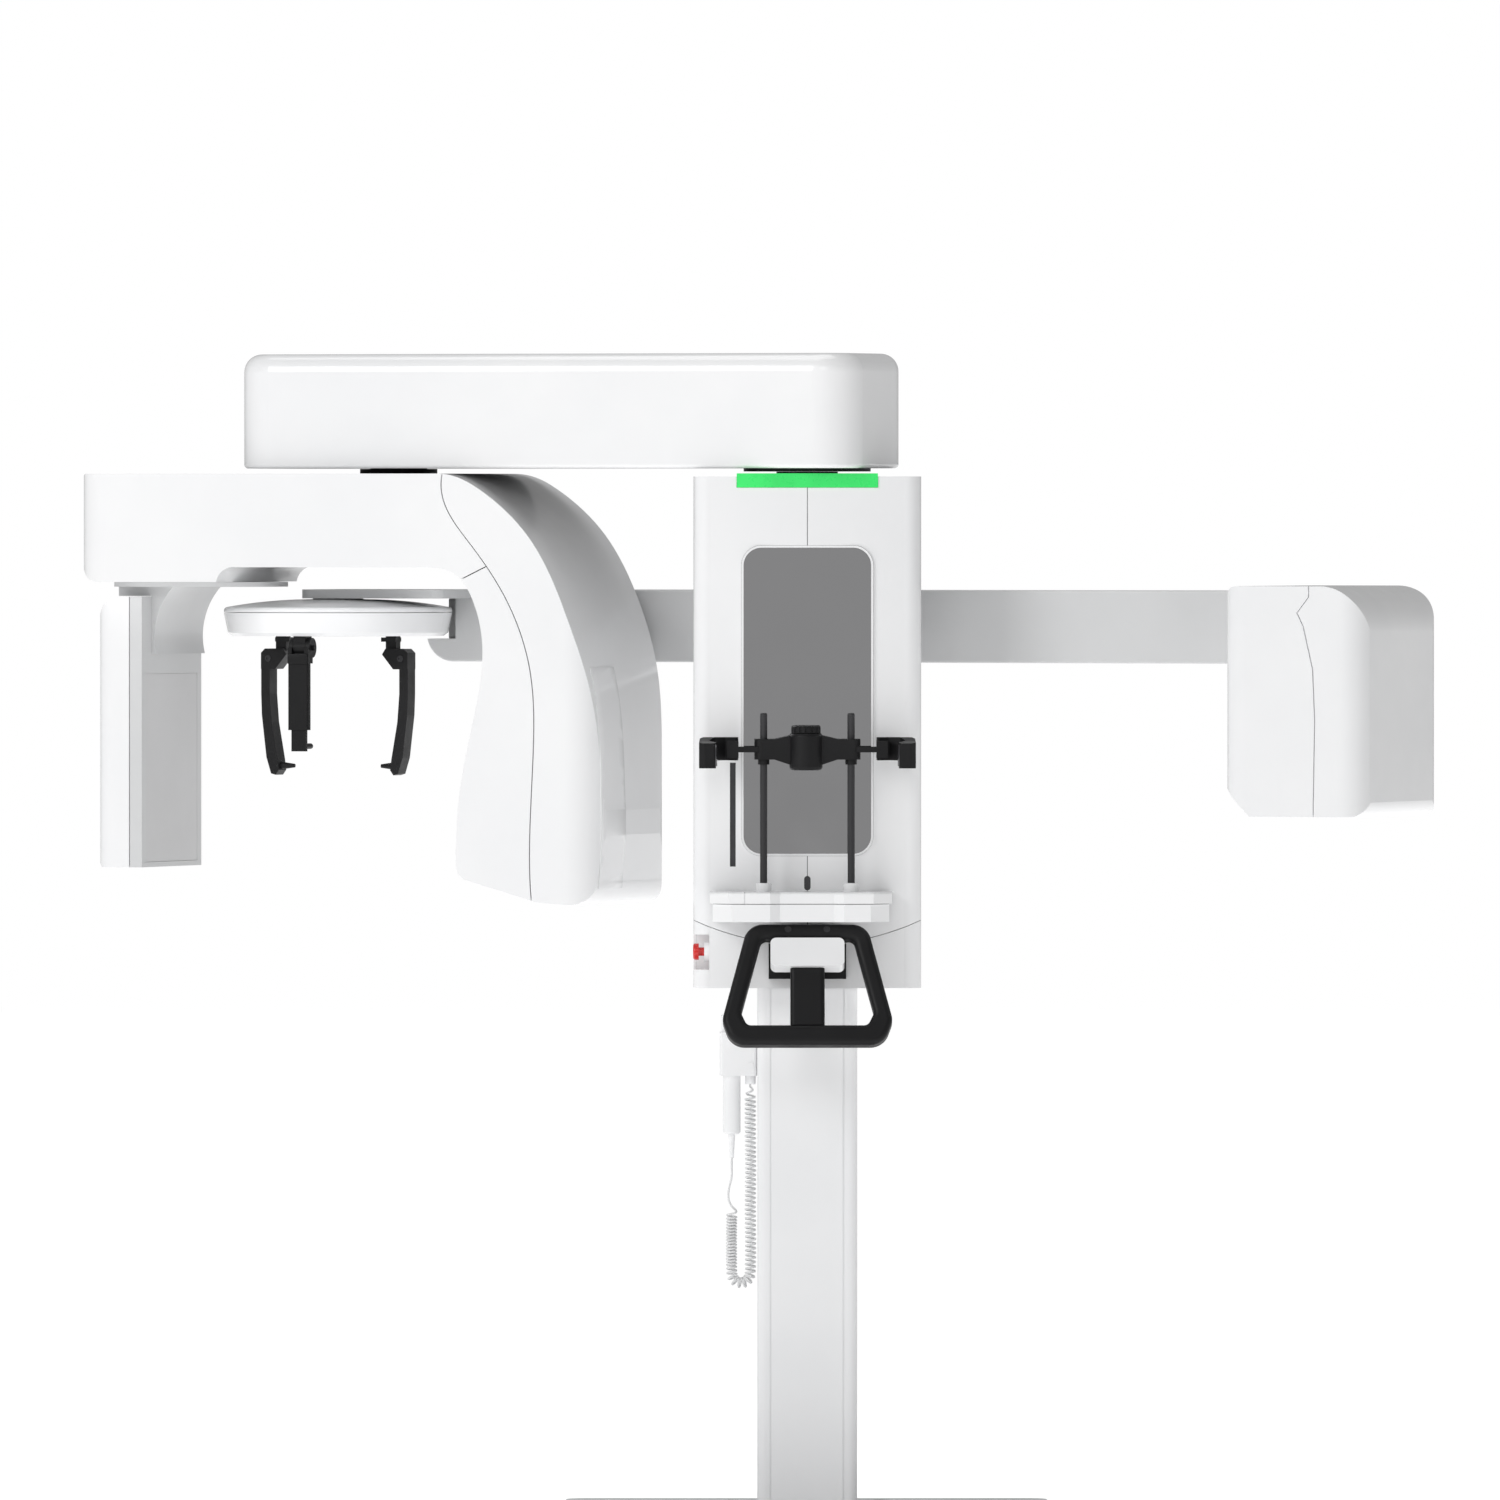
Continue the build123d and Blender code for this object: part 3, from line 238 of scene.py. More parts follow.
FINISHES: tuple[Finish, ...] = (
    Finish("gloss_white_shell", "white_cover", (0.85, 0.855, 0.865), (0.89, 0.892, 0.898),
           0.16, 0.24, relief=260.0, relief_depth=0.00003, coat=0.35),
    Finish("satin_grey_shell", "grey_cover", (0.60, 0.605, 0.61), (0.65, 0.655, 0.66),
           0.30, 0.40, relief=700.0, coat=0.1),
    Finish("matte_grey_panel", "grey_panel", (0.60, 0.60, 0.605), (0.65, 0.65, 0.655),
           0.50, 0.62, relief=1400.0),
    Finish("grained_black_grip", "black_plastic", (0.006, 0.006, 0.0065), (0.012, 0.012, 0.013),
           0.36, 0.50, relief=1500.0, relief_depth=0.0001, shine=0.2, pebbled=True),
    Finish("white_powder_coat", "white_steel", (0.83, 0.835, 0.845), (0.88, 0.882, 0.888),
           0.34, 0.44, relief=1800.0, relief_depth=0.00008),
    Finish("dark_powder_coat", "dark_metal", (0.022, 0.022, 0.024), (0.036, 0.036, 0.039),
           0.42, 0.55, relief=1800.0, relief_depth=0.00008, shine=0.35),
    Finish("satin_steel", "bare_steel", (0.50, 0.50, 0.51), (0.62, 0.62, 0.63),
           0.22, 0.36, patch=40.0, relief=2200.0, stretch=Stretch.UPRIGHT, metallic=1.0),
    Finish("drawn_aluminium", "aluminium", (0.60, 0.61, 0.62), (0.70, 0.71, 0.72),
           0.30, 0.42, patch=30.0, relief=1600.0, stretch=Stretch.UPRIGHT, metallic=1.0),
    Finish("silvered_glass", "mirror", (0.66, 0.66, 0.67), (0.70, 0.70, 0.71),
           0.02, 0.05, patch=1.5, relief=8.0, relief_depth=0.00001, metallic=1.0),
    Finish("green_light_bar", "green_light", (0.02, 0.42, 0.08), (0.03, 0.56, 0.11),
           0.25, 0.34, patch=18.0, relief=600.0, glow=0.55),
    Finish("smoked_window", "dark_window", (0.025, 0.025, 0.028), (0.04, 0.04, 0.044),
           0.08, 0.16, patch=20.0, coat=0.5),
    Finish("red_push_button", "red_plastic", (0.55, 0.008, 0.006), (0.68, 0.014, 0.010),
           0.22, 0.32, patch=60.0, relief=1200.0, coat=0.3),
    Finish("pale_cord_jacket", "cord", (0.72, 0.725, 0.73), (0.80, 0.803, 0.808),
           0.42, 0.55, patch=45.0, relief=2600.0, relief_depth=0.00006),
)


# Nodes that sit in shade take a darker finish than their slot's: painted shade.
SHADE_DARKENED: dict[str, str] = {"handle_screws": "dark_metal"}


class FinishShelf:
    """Holds every finish, made once, and puts it on nodes and pieces."""

    def __init__(self, finishes: tuple[Finish, ...]) -> None:
        """Makes the materials.

        Args:
            finishes: the finishes of this object.
        """
        self.by_slot = {finish.slot: finish.build() for finish in finishes}

    def dress_nodes(self) -> None:
        """Gives each CAD node the finish of its slot, and nodes in shade a darker finish as
        painted shade.
        """
        for name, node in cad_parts.items():
            for holder in node.material_slots:
                # Nodes in shade take a darker finish here: painted shade.
                slot = SHADE_DARKENED.get(name, holder.material.name.split(".")[0])
                holder.material = self.by_slot[slot]
            log.info("dressed %s", name)

    def dress(self, piece: bpy.types.Object, slot: str) -> None:
        """Gives a new piece the finish of a slot.

        Args:
            piece: the new piece.
            slot: the record's material slot.
        """
        piece.data.materials.clear()
        piece.data.materials.append(self.by_slot[slot])


class Facing(Enum):
    """The side that a face of a cover looks to."""

    LEFT = (-1.0, 0.0, 0.0)
    RIGHT = (1.0, 0.0, 0.0)
    FRONT = (0.0, -1.0, 0.0)
    BACK = (0.0, 1.0, 0.0)
    UP = (0.0, 0.0, 1.0)


@dataclass(frozen=True)
class Skin:
    """A raised skin that follows part of a cover's surface, in metres."""

    node: str
    low: Point
    high: Point
    facing: Facing
    thick: float = 0.0012
    turned: bool = False


@dataclass(frozen=True)
class ScrewShape:
    """A socket screw's head, as shares of its radius."""

    height: float = 0.6
    lift: float = 0.1
    chamfer: float = 0.12
    land: float = 0.38
    draft: float = 0.02
    socket: float = 0.3
    sides: int = 24


class Workbench:
    """Models new pieces with Blender's own tools, and hands each to its body."""

    yaw: float = math.radians(21.0)             # turn of the upper assembly on the column
    sharp_angle: float = math.radians(50.0)     # edges that turn more are rounded
    smooth_angle: float = math.radians(35.0)    # edges that turn less are shaded smooth
    weld: float = 0.00001                       # doubles nearer than this are merged
    side_cosine: float = 0.3                    # faces of a skin look this much to its side
    rim_cosine: float = 0.9                     # a screw's end face with its rim
    face_cosine: float = 0.99                   # a screw's end face alone
    flat_cosine: float = 0.995                  # a plate's face without its rounded rim
    corner_segments: int = 6
    rim_segments: int = 3
    screw_shape: ScrewShape = ScrewShape()

    def __init__(self, shelf: FinishShelf) -> None:
        """Keeps the finishes at hand.

        Args:
            shelf: the finishes of this object.
        """
        self.shelf = shelf

    def turn(self, place: Point) -> Vector:
        """Turns a point of the upper assembly's own frame into the row frame.

        Args:
            place: point along, behind and above, in metres.

        Returns:
            The same point in the row frame.
        """
        cos, sin = math.cos(self.yaw), math.sin(self.yaw)
        along, behind, above = place
        return Vector((along * cos + behind * sin, behind * cos - along * sin, above))

    def only(self, piece: bpy.types.Object) -> None:
        """Selects one object alone and makes it active.

        Args:
            piece: the object to select.
        """
        bpy.ops.object.select_all(action="DESELECT")
        piece.select_set(True)
        bpy.context.view_layer.objects.active = piece

    def pick(self, piece: bpy.types.Object, side: Vector, least: float,
             keep: bool = True) -> None:
        """Selects the faces that look to a side, and goes into edit mode.

        Args:
            piece: the object to work on.
            side: direction that the faces look in.
            least: smallest cosine that counts.
            keep: whether those faces or all others are selected.
        """
        bpy.ops.object.mode_set(mode="OBJECT")
        bpy.context.tool_settings.mesh_select_mode = (False, False, True)
        for part in (*piece.data.vertices, *piece.data.edges):
            part.select = False
        for face in piece.data.polygons:
            face.select = (face.normal.dot(side) > least) == keep
        bpy.ops.object.mode_set(mode="EDIT")

    def settle(self, piece: bpy.types.Object) -> None:
        """Puts a piece's place, turn and size into its mesh.

        Args:
            piece: the object to settle.
        """
        self.only(piece)
        bpy.ops.object.transform_apply(location=True, rotation=True, scale=True)

    def swing(self, piece: bpy.types.Object, angle: float) -> None:
        """Turns a piece about the column and settles it.

        Args:
            piece: the object to turn.
            angle: the turn in radians.
        """
        piece.rotation_euler.z = angle
        self.settle(piece)

    def shift(self, pieces: list[bpy.types.Object], way: Point | Vector) -> None:
        """Moves pieces and settles them.

        Args:
            pieces: the objects to move.
            way: the move in metres.
        """
        for piece in pieces:
            piece.location = way
            self.settle(piece)

    def edge_off(self, piece: bpy.types.Object, width: float, segments: int = 2) -> None:
        """Rounds the sharp edges and smooths the rest.

        Args:
            piece: the object to finish.
            width: width of the rounding in metres.
            segments: faces across the rounding.
        """
        self.only(piece)
        bevel = piece.modifiers.new("edge", "BEVEL")
        bevel.width = width
        bevel.segments = segments
        bevel.limit_method = "ANGLE"
        bevel.angle_limit = self.sharp_angle
        bpy.ops.object.modifier_apply(modifier=bevel.name)
        bpy.ops.object.shade_smooth_by_angle(angle=self.smooth_angle)

    def join(self, pieces: list[bpy.types.Object]) -> bpy.types.Object:
        """Makes one object of several.

        Args:
            pieces: the objects to join.

        Returns:
            The joined object.
        """
        self.only(pieces[0])
        for piece in pieces:
            piece.select_set(True)
        if len(pieces) > 1:
            bpy.ops.object.join()
        return bpy.context.object

    def skin(self, plan: Skin) -> bpy.types.Object:
        """Lifts part of a cover's surface off as a thin skin.

        Args:
            plan: where the skin lies and how thick it is.

        Returns:
            The new object.
        """
        piece = bpy.data.objects.new("skin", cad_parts[plan.node].data.copy())
        bpy.context.scene.collection.objects.link(piece)
        self.only(piece)
        if plan.turned:
            self.swing(piece, self.yaw)
        bpy.ops.object.mode_set(mode="EDIT")
        bpy.ops.mesh.select_all(action="SELECT")
        bpy.ops.mesh.remove_doubles(threshold=self.weld)
        for axis in range(3):
            way = tuple(1.0 if other == axis else 0.0 for other in range(3))
            for corner, inner in ((plan.low, True), (plan.high, False)):
                bpy.ops.mesh.select_all(action="SELECT")
                bpy.ops.mesh.bisect(plane_co=corner, plane_no=way, clear_inner=inner,
                                    clear_outer=not inner)
        self.pick(piece, Vector(plan.facing.value), self.side_cosine, keep=False)
        bpy.ops.mesh.delete(type="FACE")
        bpy.ops.object.mode_set(mode="OBJECT")
        wall = piece.modifiers.new("wall", "SOLIDIFY")
        wall.thickness = plan.thick
        wall.offset = 1.0        # the wall grows outwards
        bpy.ops.object.modifier_apply(modifier=wall.name)
        if plan.turned:
            self.swing(piece, -self.yaw)
        return piece

    def screw(self, node: str, start: Point, heading: Facing, radius: float,
              turned: bool = False) -> list[bpy.types.Object]:
        """Sets a socket screw on the surface that a straight line meets.

        Args:
            node: the CAD node that it sits on.
            start: point in front of the surface.
            heading: the side that the surface looks to.
            radius: radius of the screw's head.
            turned: whether start is in the upper assembly's own frame.

        Returns:
            The screw in a list, empty where the line meets nothing.
        """
        begin = self.turn(start) if turned else Vector(start)
        way = self.turn(heading.value) if turned else Vector(heading.value)
        hit, place, normal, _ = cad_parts[node].ray_cast(begin, -way)
        if not hit:
            log.warning("no surface of %s under %s", node, start)
            return []
        head = self.screw_shape
        bpy.ops.object.select_all(action="DESELECT")
        bpy.ops.mesh.primitive_cylinder_add(
            vertices=head.sides, radius=radius, depth=radius * head.height,
            location=place + normal * radius * head.lift,
            rotation=normal.to_track_quat("Z", "Y").to_euler())
        piece = bpy.context.object
        self.pick(piece, Vector(Facing.UP.value), self.rim_cosine)
        bpy.ops.mesh.bevel(offset=radius * head.chamfer, segments=2)
        self.pick(piece, Vector(Facing.UP.value), self.face_cosine)
        bpy.ops.mesh.inset(thickness=radius * head.land)
        bpy.ops.mesh.inset(thickness=radius * head.draft, depth=-radius * head.socket)
        bpy.ops.object.mode_set(mode="OBJECT")
        self.settle(piece)
        bpy.ops.object.shade_smooth_by_angle(angle=self.smooth_angle)
        return [piece]

    def plate(self, low: Point, high: Point, corner: float, edge: float,
              turned: bool = False) -> bpy.types.Object:
        """Makes a plate with rounded corners, thin along its shortest side.

        Args:
            low: lowest corner.
            high: highest corner.
            corner: radius of its corners.
            edge: rounding of its rim.
            turned: whether the corners are in the upper assembly's own frame.

        Returns:
            The new object.
        """
        size = [b - a for a, b in zip(low, high)]
        centre = [(a + b) / 2 for a, b in zip(low, high)]
        thin = size.index(min(size))
        bpy.ops.object.select_all(action="DESELECT")
        bpy.ops.mesh.primitive_cube_add(size=1.0, location=centre)
        piece = bpy.context.object
        piece.scale = size
        self.settle(piece)
        bpy.context.tool_settings.mesh_select_mode = (False, True, False)
        points = piece.data.vertices
        for part in (*points, *piece.data.polygons):
            part.select = False
        for line in piece.data.edges:
            reach = points[line.vertices[0]].co - points[line.vertices[1]].co
            line.select = abs(reach[thin]) > 0.5 * size[thin]
        bpy.ops.object.mode_set(mode="EDIT")
        bpy.ops.mesh.bevel(offset=corner, segments=self.corner_segments)
        bpy.ops.object.mode_set(mode="OBJECT")
        self.edge_off(piece, edge, self.rim_segments)
        if turned:
            self.swing(piece, -self.yaw)
        return piece

    def hand_over(self, piece: bpy.types.Object, name: str, slot: str, body: str) -> None:
        """Names a piece, dresses it and lets it ride on its body.

        Args:
            piece: the finished object.
            name: its name.
            slot: the material slot that it takes.
            body: the body that carries it.
        """
        piece.name = name
        self.shelf.dress(piece, slot)
        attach(piece, body)
        log.info("added %s on %s", name, body)


@dataclass
class CarriageTrim:
    """Hatch, vent and fixings on the carriage's round back."""

    node: str = "carriage_rear_cover"
    rear: float = 0.2
    ahead: float = 0.3
    hatch_half: float = 0.078
    hatch_low: float = 0.875
    hatch_high: float = 1.095
    hatch_thick: float = 0.0016
    hatch_edge: float = 0.0006
    hatch_margin: float = 0.010
    hatch_screw: float = 0.0042
    cover_half: float = 0.075
    cover_heights: tuple[float, ...] = (0.835, 1.170, 1.300)
    cover_screw: float = 0.0040
    vent_half: float = 0.060
    vent_low: float = 1.330
    slats: int = 9
    slat_step: float = 0.011
    slat_high: float = 0.0045
    slat_thick: float = 0.0022
    slat_edge: float = 0.0007

    def build(self, bench: Workbench) -> None:
        """Adds the trim.

        Args:
            bench: the modelling tools.
        """
        hatch = bench.skin(Skin(self.node, (-self.hatch_half, 0.0, self.hatch_low),
                                (self.hatch_half, self.rear, self.hatch_high),
                                Facing.BACK, self.hatch_thick))
        bench.edge_off(hatch, self.hatch_edge)
        bench.hand_over(hatch, "rear_service_hatch", "white_cover", "carriage")
        ribs = []
        for slat in range(self.slats):
            z = self.vent_low + slat * self.slat_step
            ribs.append(bench.skin(Skin(self.node, (-self.vent_half, 0.0, z),
                                        (self.vent_half, self.rear, z + self.slat_high),
                                        Facing.BACK, self.slat_thick)))
        vent = bench.join(ribs)
        bench.edge_off(vent, self.slat_edge)
        bench.hand_over(vent, "rear_vent_ribs", "grey_cover", "carriage")
        margin = self.hatch_margin
        fixings = [(x, z, self.hatch_screw)
                   for x in (-self.hatch_half + margin, self.hatch_half - margin)
                   for z in (self.hatch_low + margin, self.hatch_high - margin)]
        fixings += [(x, z, self.cover_screw)
                    for x in (-self.cover_half, self.cover_half) for z in self.cover_heights]
        screws = []
        for x, z, radius in fixings:
            screws += bench.screw(self.node, (x, self.ahead, z), Facing.BACK, radius)
        bench.hand_over(bench.join(screws), "rear_cover_screws", "bare_steel", "carriage")


@dataclass
class ColumnTrim:
    """Mains plate with inlet and rocker, and a cable duct, low on the column's back."""

    rear: float = 0.058
    ahead: float = 0.3
    plate_low: float = 0.095
    plate_high: float = 0.215
    half: float = 0.045
    thick: float = 0.003
    corner: float = 0.006
    edge: float = 0.0008
    inlet_half: float = 0.026
    inlet_low: float = 0.112
    inlet_high: float = 0.150
    inlet_rear: float = 0.011
    inlet_edge: float = 0.0010
    inlet_rim: float = 0.0032
    inlet_draft: float = 0.0003
    inlet_depth: float = 0.007
    rocker_half: float = 0.011
    rocker_low: float = 0.166
    rocker_high: float = 0.196
    rocker_rear: float = 0.009
    rocker_corner: float = 0.002
    rocker_edge: float = 0.0015
    duct_half: float = 0.017
    duct_low: float = 0.225
    duct_high: float = 0.700
    duct_rear: float = 0.009
    duct_edge: float = 0.0030
    screw_margin: float = 0.008
    screw_radius: float = 0.0036

    def build(self, bench: Workbench) -> None:
        """Adds the trim.

        Args:
            bench: the modelling tools.
        """
        back = self.rear
        face = back + self.thick
        plate = bench.plate((-self.half, back, self.plate_low),
                            (self.half, face, self.plate_high), self.corner, self.edge)
        bench.hand_over(plate, "mains_plate", "white_steel", "base")
        inlet = bench.plate((-self.inlet_half, face, self.inlet_low),
                            (self.inlet_half, back + self.inlet_rear, self.inlet_high),
                            self.corner, self.inlet_edge)
        bench.pick(inlet, Vector(Facing.BACK.value), bench.flat_cosine)
        bpy.ops.mesh.inset(thickness=self.inlet_rim)
        bpy.ops.mesh.inset(thickness=self.inlet_draft, depth=-self.inlet_depth)
        bpy.ops.object.mode_set(mode="OBJECT")
        bench.hand_over(inlet, "mains_inlet", "black_plastic", "base")
        rocker = bench.plate((-self.rocker_half, face, self.rocker_low),
                             (self.rocker_half, back + self.rocker_rear, self.rocker_high),
                             self.rocker_corner, self.rocker_edge)
        bench.hand_over(rocker, "mains_rocker", "black_plastic", "base")
        duct = bench.plate((-self.duct_half, back, self.duct_low),
                           (self.duct_half, back + self.duct_rear, self.duct_high),
                           self.corner, self.duct_edge)
        bench.hand_over(duct, "column_cable_duct", "grey_cover", "base")
        margin = self.screw_margin
        screws = []
        for x in (-self.half + margin, self.half - margin):
            for z in (self.plate_low + margin, self.plate_high - margin):
                start = (x, self.ahead, z)
                screws += bench.screw("column_tube", start, Facing.BACK, self.screw_radius)
        bench.shift(screws, (0.0, self.thick, 0.0))
        bench.hand_over(bench.join(screws), "mains_plate_screws", "bare_steel", "base")


@dataclass
class ArmTrim:
    """Raised panels, vents and fixings on the shelf, the C-arm and the skull arm.

    Every place is in the upper assembly's own frame: along the arms, behind and above.
    """

    ahead: float = 0.5
    strip: tuple[Point, Point] = ((-1.0, -0.119, 0.880), (0.0, -0.029, 1.190))
    hatch: tuple[Point, Point] = ((-0.960, 0.0, 1.345), (-0.700, 0.5, 1.440))
    duct: tuple[Point, Point] = ((-0.540, 0.19, 1.226), (0.620, 0.3, 1.268))
    fairing: tuple[Point, Point] = ((-0.6192, 0.196, 1.2275), (-0.5978, 0.219, 1.2858))
    strip_thick: float = 0.0010
    hatch_thick: float = 0.0012
    panel_edge: float = 0.0005
    fairing_corner: float = 0.004
    fairing_edge: float = 0.0015
    shelf_vent: tuple[tuple[float, float], float] = ((-0.230, -0.090), 1.500)
    skull_vent: tuple[tuple[float, float], float] = ((0.680, 0.755), 1.050)
    duct_thick: float = 0.0022
    duct_edge: float = 0.0008
    rib_step: float = 0.010
    rib_high: float = 0.004
    rib_thick: float = 0.0020
    rib_edge: float = 0.0006
    slats: int = 8
    screw_radius: float = 0.0040
    beam_screws: tuple[tuple[float, float], ...] = (
        (-0.950, 1.355), (-0.950, 1.430), (-0.710, 1.355), (-0.710, 1.430),
        (-0.620, 1.400), (-0.520, 1.400))
    tube_screws: tuple[tuple[float, float], ...] = ((-0.430, 0.900), (-0.430, 1.080))
    skull_screws: int = 7
    skull_screw_start: float = -0.520
    skull_screw_step: float = 0.185
    skull_screw_height: float = 1.247
    skull_screw_radius: float = 0.0036

    def ribs(self, bench: Workbench, node: str, spans: tuple[float, float],
             low: float) -> bpy.types.Object:
        """Makes a row of vent ribs on a cover of the upper assembly.

        Args:
            bench: the modelling tools.
            node: the cover.
            spans: start and end of a rib along the arm.
            low: height of the lowest rib.

        Returns:
            The joined ribs.
        """
        rows = []
        for row in range(self.slats):
            z = low + row * self.rib_step
            rows.append(bench.skin(Skin(node, (spans[0], -self.ahead, z),
                                        (spans[1], self.ahead, z + self.rib_high),
                                        Facing.BACK, self.rib_thick, True)))
        vent = bench.join(rows)
        bench.edge_off(vent, self.rib_edge)
        return vent

    def build(self, bench: Workbench) -> None:
        """Adds the trim.

        Args:
            bench: the modelling tools.
        """
        strip = bench.skin(Skin("carm_outer_cover", *self.strip, Facing.RIGHT,
                                self.strip_thick, True))
        bench.edge_off(strip, self.panel_edge)
        bench.hand_over(strip, "tube_head_side_strip", "white_cover", "rotating_unit")
        hatch = bench.skin(Skin("carm_beam_cover", *self.hatch, Facing.BACK,
                                self.hatch_thick, True))
        bench.edge_off(hatch, self.panel_edge)
        bench.hand_over(hatch, "beam_rear_hatch", "white_cover", "rotating_unit")
        screws = []
        for node, places in (("carm_beam_cover", self.beam_screws),
                             ("tube_head_inner_cover", self.tube_screws)):
            for s, z in places:
                start = (s, self.ahead, z)
                screws += bench.screw(node, start, Facing.BACK, self.screw_radius, True)
        bench.hand_over(bench.join(screws), "arm_cover_screws", "bare_steel", "rotating_unit")
        bench.hand_over(self.ribs(bench, "shelf_cover", *self.shelf_vent),
                        "shelf_vent_ribs", "grey_cover", "shelf")
        bench.hand_over(self.ribs(bench, "ceph_tube_inner_cover", *self.skull_vent),
                        "skull_tube_vent_ribs", "grey_cover", "carriage")
        duct = bench.skin(Skin("ceph_arm", *self.duct, Facing.BACK, self.duct_thick, True))
        bench.edge_off(duct, self.duct_edge)
        bench.hand_over(duct, "skull_arm_cable_cover", "grey_cover", "carriage")
        screws = []
        for step in range(self.skull_screws):
            start = (self.skull_screw_start + step * self.skull_screw_step, self.ahead,
                     self.skull_screw_height)
            screws += bench.screw("ceph_arm", start, Facing.BACK, self.skull_screw_radius, True)
        bench.shift(screws, bench.turn((0.0, self.duct_thick, 0.0)))
        bench.hand_over(bench.join(screws), "skull_arm_screws", "bare_steel", "carriage")
        fairing = bench.plate(*self.fairing, self.fairing_corner, self.fairing_edge, True)
        bench.hand_over(fairing, "skull_neck_fairing", "grey_cover", "carriage")


@dataclass
class PatientTrim:
    """Pads and pivot caps where the machine holds the head."""

    ahead: float = 0.3
    pad_thick: float = 0.0016
    pad_edge: float = 0.0006
    pad_near: float = 0.126
    pad_far: float = 0.141
    pad_span: tuple[float, float] = (-0.183, -0.150)
    pad_rise: tuple[float, float] = (1.054, 1.084)
    pivot: tuple[float, float] = (-0.7472, 1.216)
    pivot_radius: float = 0.0080
    bridge: tuple[Point, Point] = ((-0.7622, -0.0582, 1.1930), (-0.7322, -0.0561, 1.2075))
    bridge_corner: float = 0.0025
    bridge_edge: float = 0.0006
    ears: tuple[tuple[str, float], ...] = (("left", -0.8482), ("right", -0.6462))
    ear_height: float = 1.200
    ear_radius: float = 0.0045

    def build(self, bench: Workbench) -> None:
        """Adds the trim.

        Args:
            bench: the modelling tools.
        """
        sides = (("temple_left", Facing.RIGHT, -self.pad_far, -self.pad_near),
                 ("temple_right", Facing.LEFT, self.pad_near, self.pad_far))
        for node, facing, low, high in sides:
            pad = bench.skin(Skin(node, (low, self.pad_span[0], self.pad_rise[0]),
                                  (high, self.pad_span[1], self.pad_rise[1]),
                                  facing, self.pad_thick))
            bench.edge_off(pad, self.pad_edge)
            bench.hand_over(pad, f"{node}_pad", "dark_window", node)
        start = (self.pivot[0], -self.ahead, self.pivot[1])
        cap = bench.screw("nasion_plate", start, Facing.FRONT, self.pivot_radius, True)
        bench.hand_over(bench.join(cap), "nasion_pivot_cap", "black_plastic", "nasion")
        bridge = bench.plate(*self.bridge, self.bridge_corner, self.bridge_edge, True)
        bench.hand_over(bridge, "nasion_bridge", "black_plastic", "nasion")
        for hand, s in self.ears:
            start = (s, -self.ahead, self.ear_height)
            caps = bench.screw(f"ear_arm_{hand}", start, Facing.FRONT, self.ear_radius, True)
            bench.hand_over(bench.join(caps), f"ear_arm_{hand}_cap", "dark_metal", f"ear_{hand}")


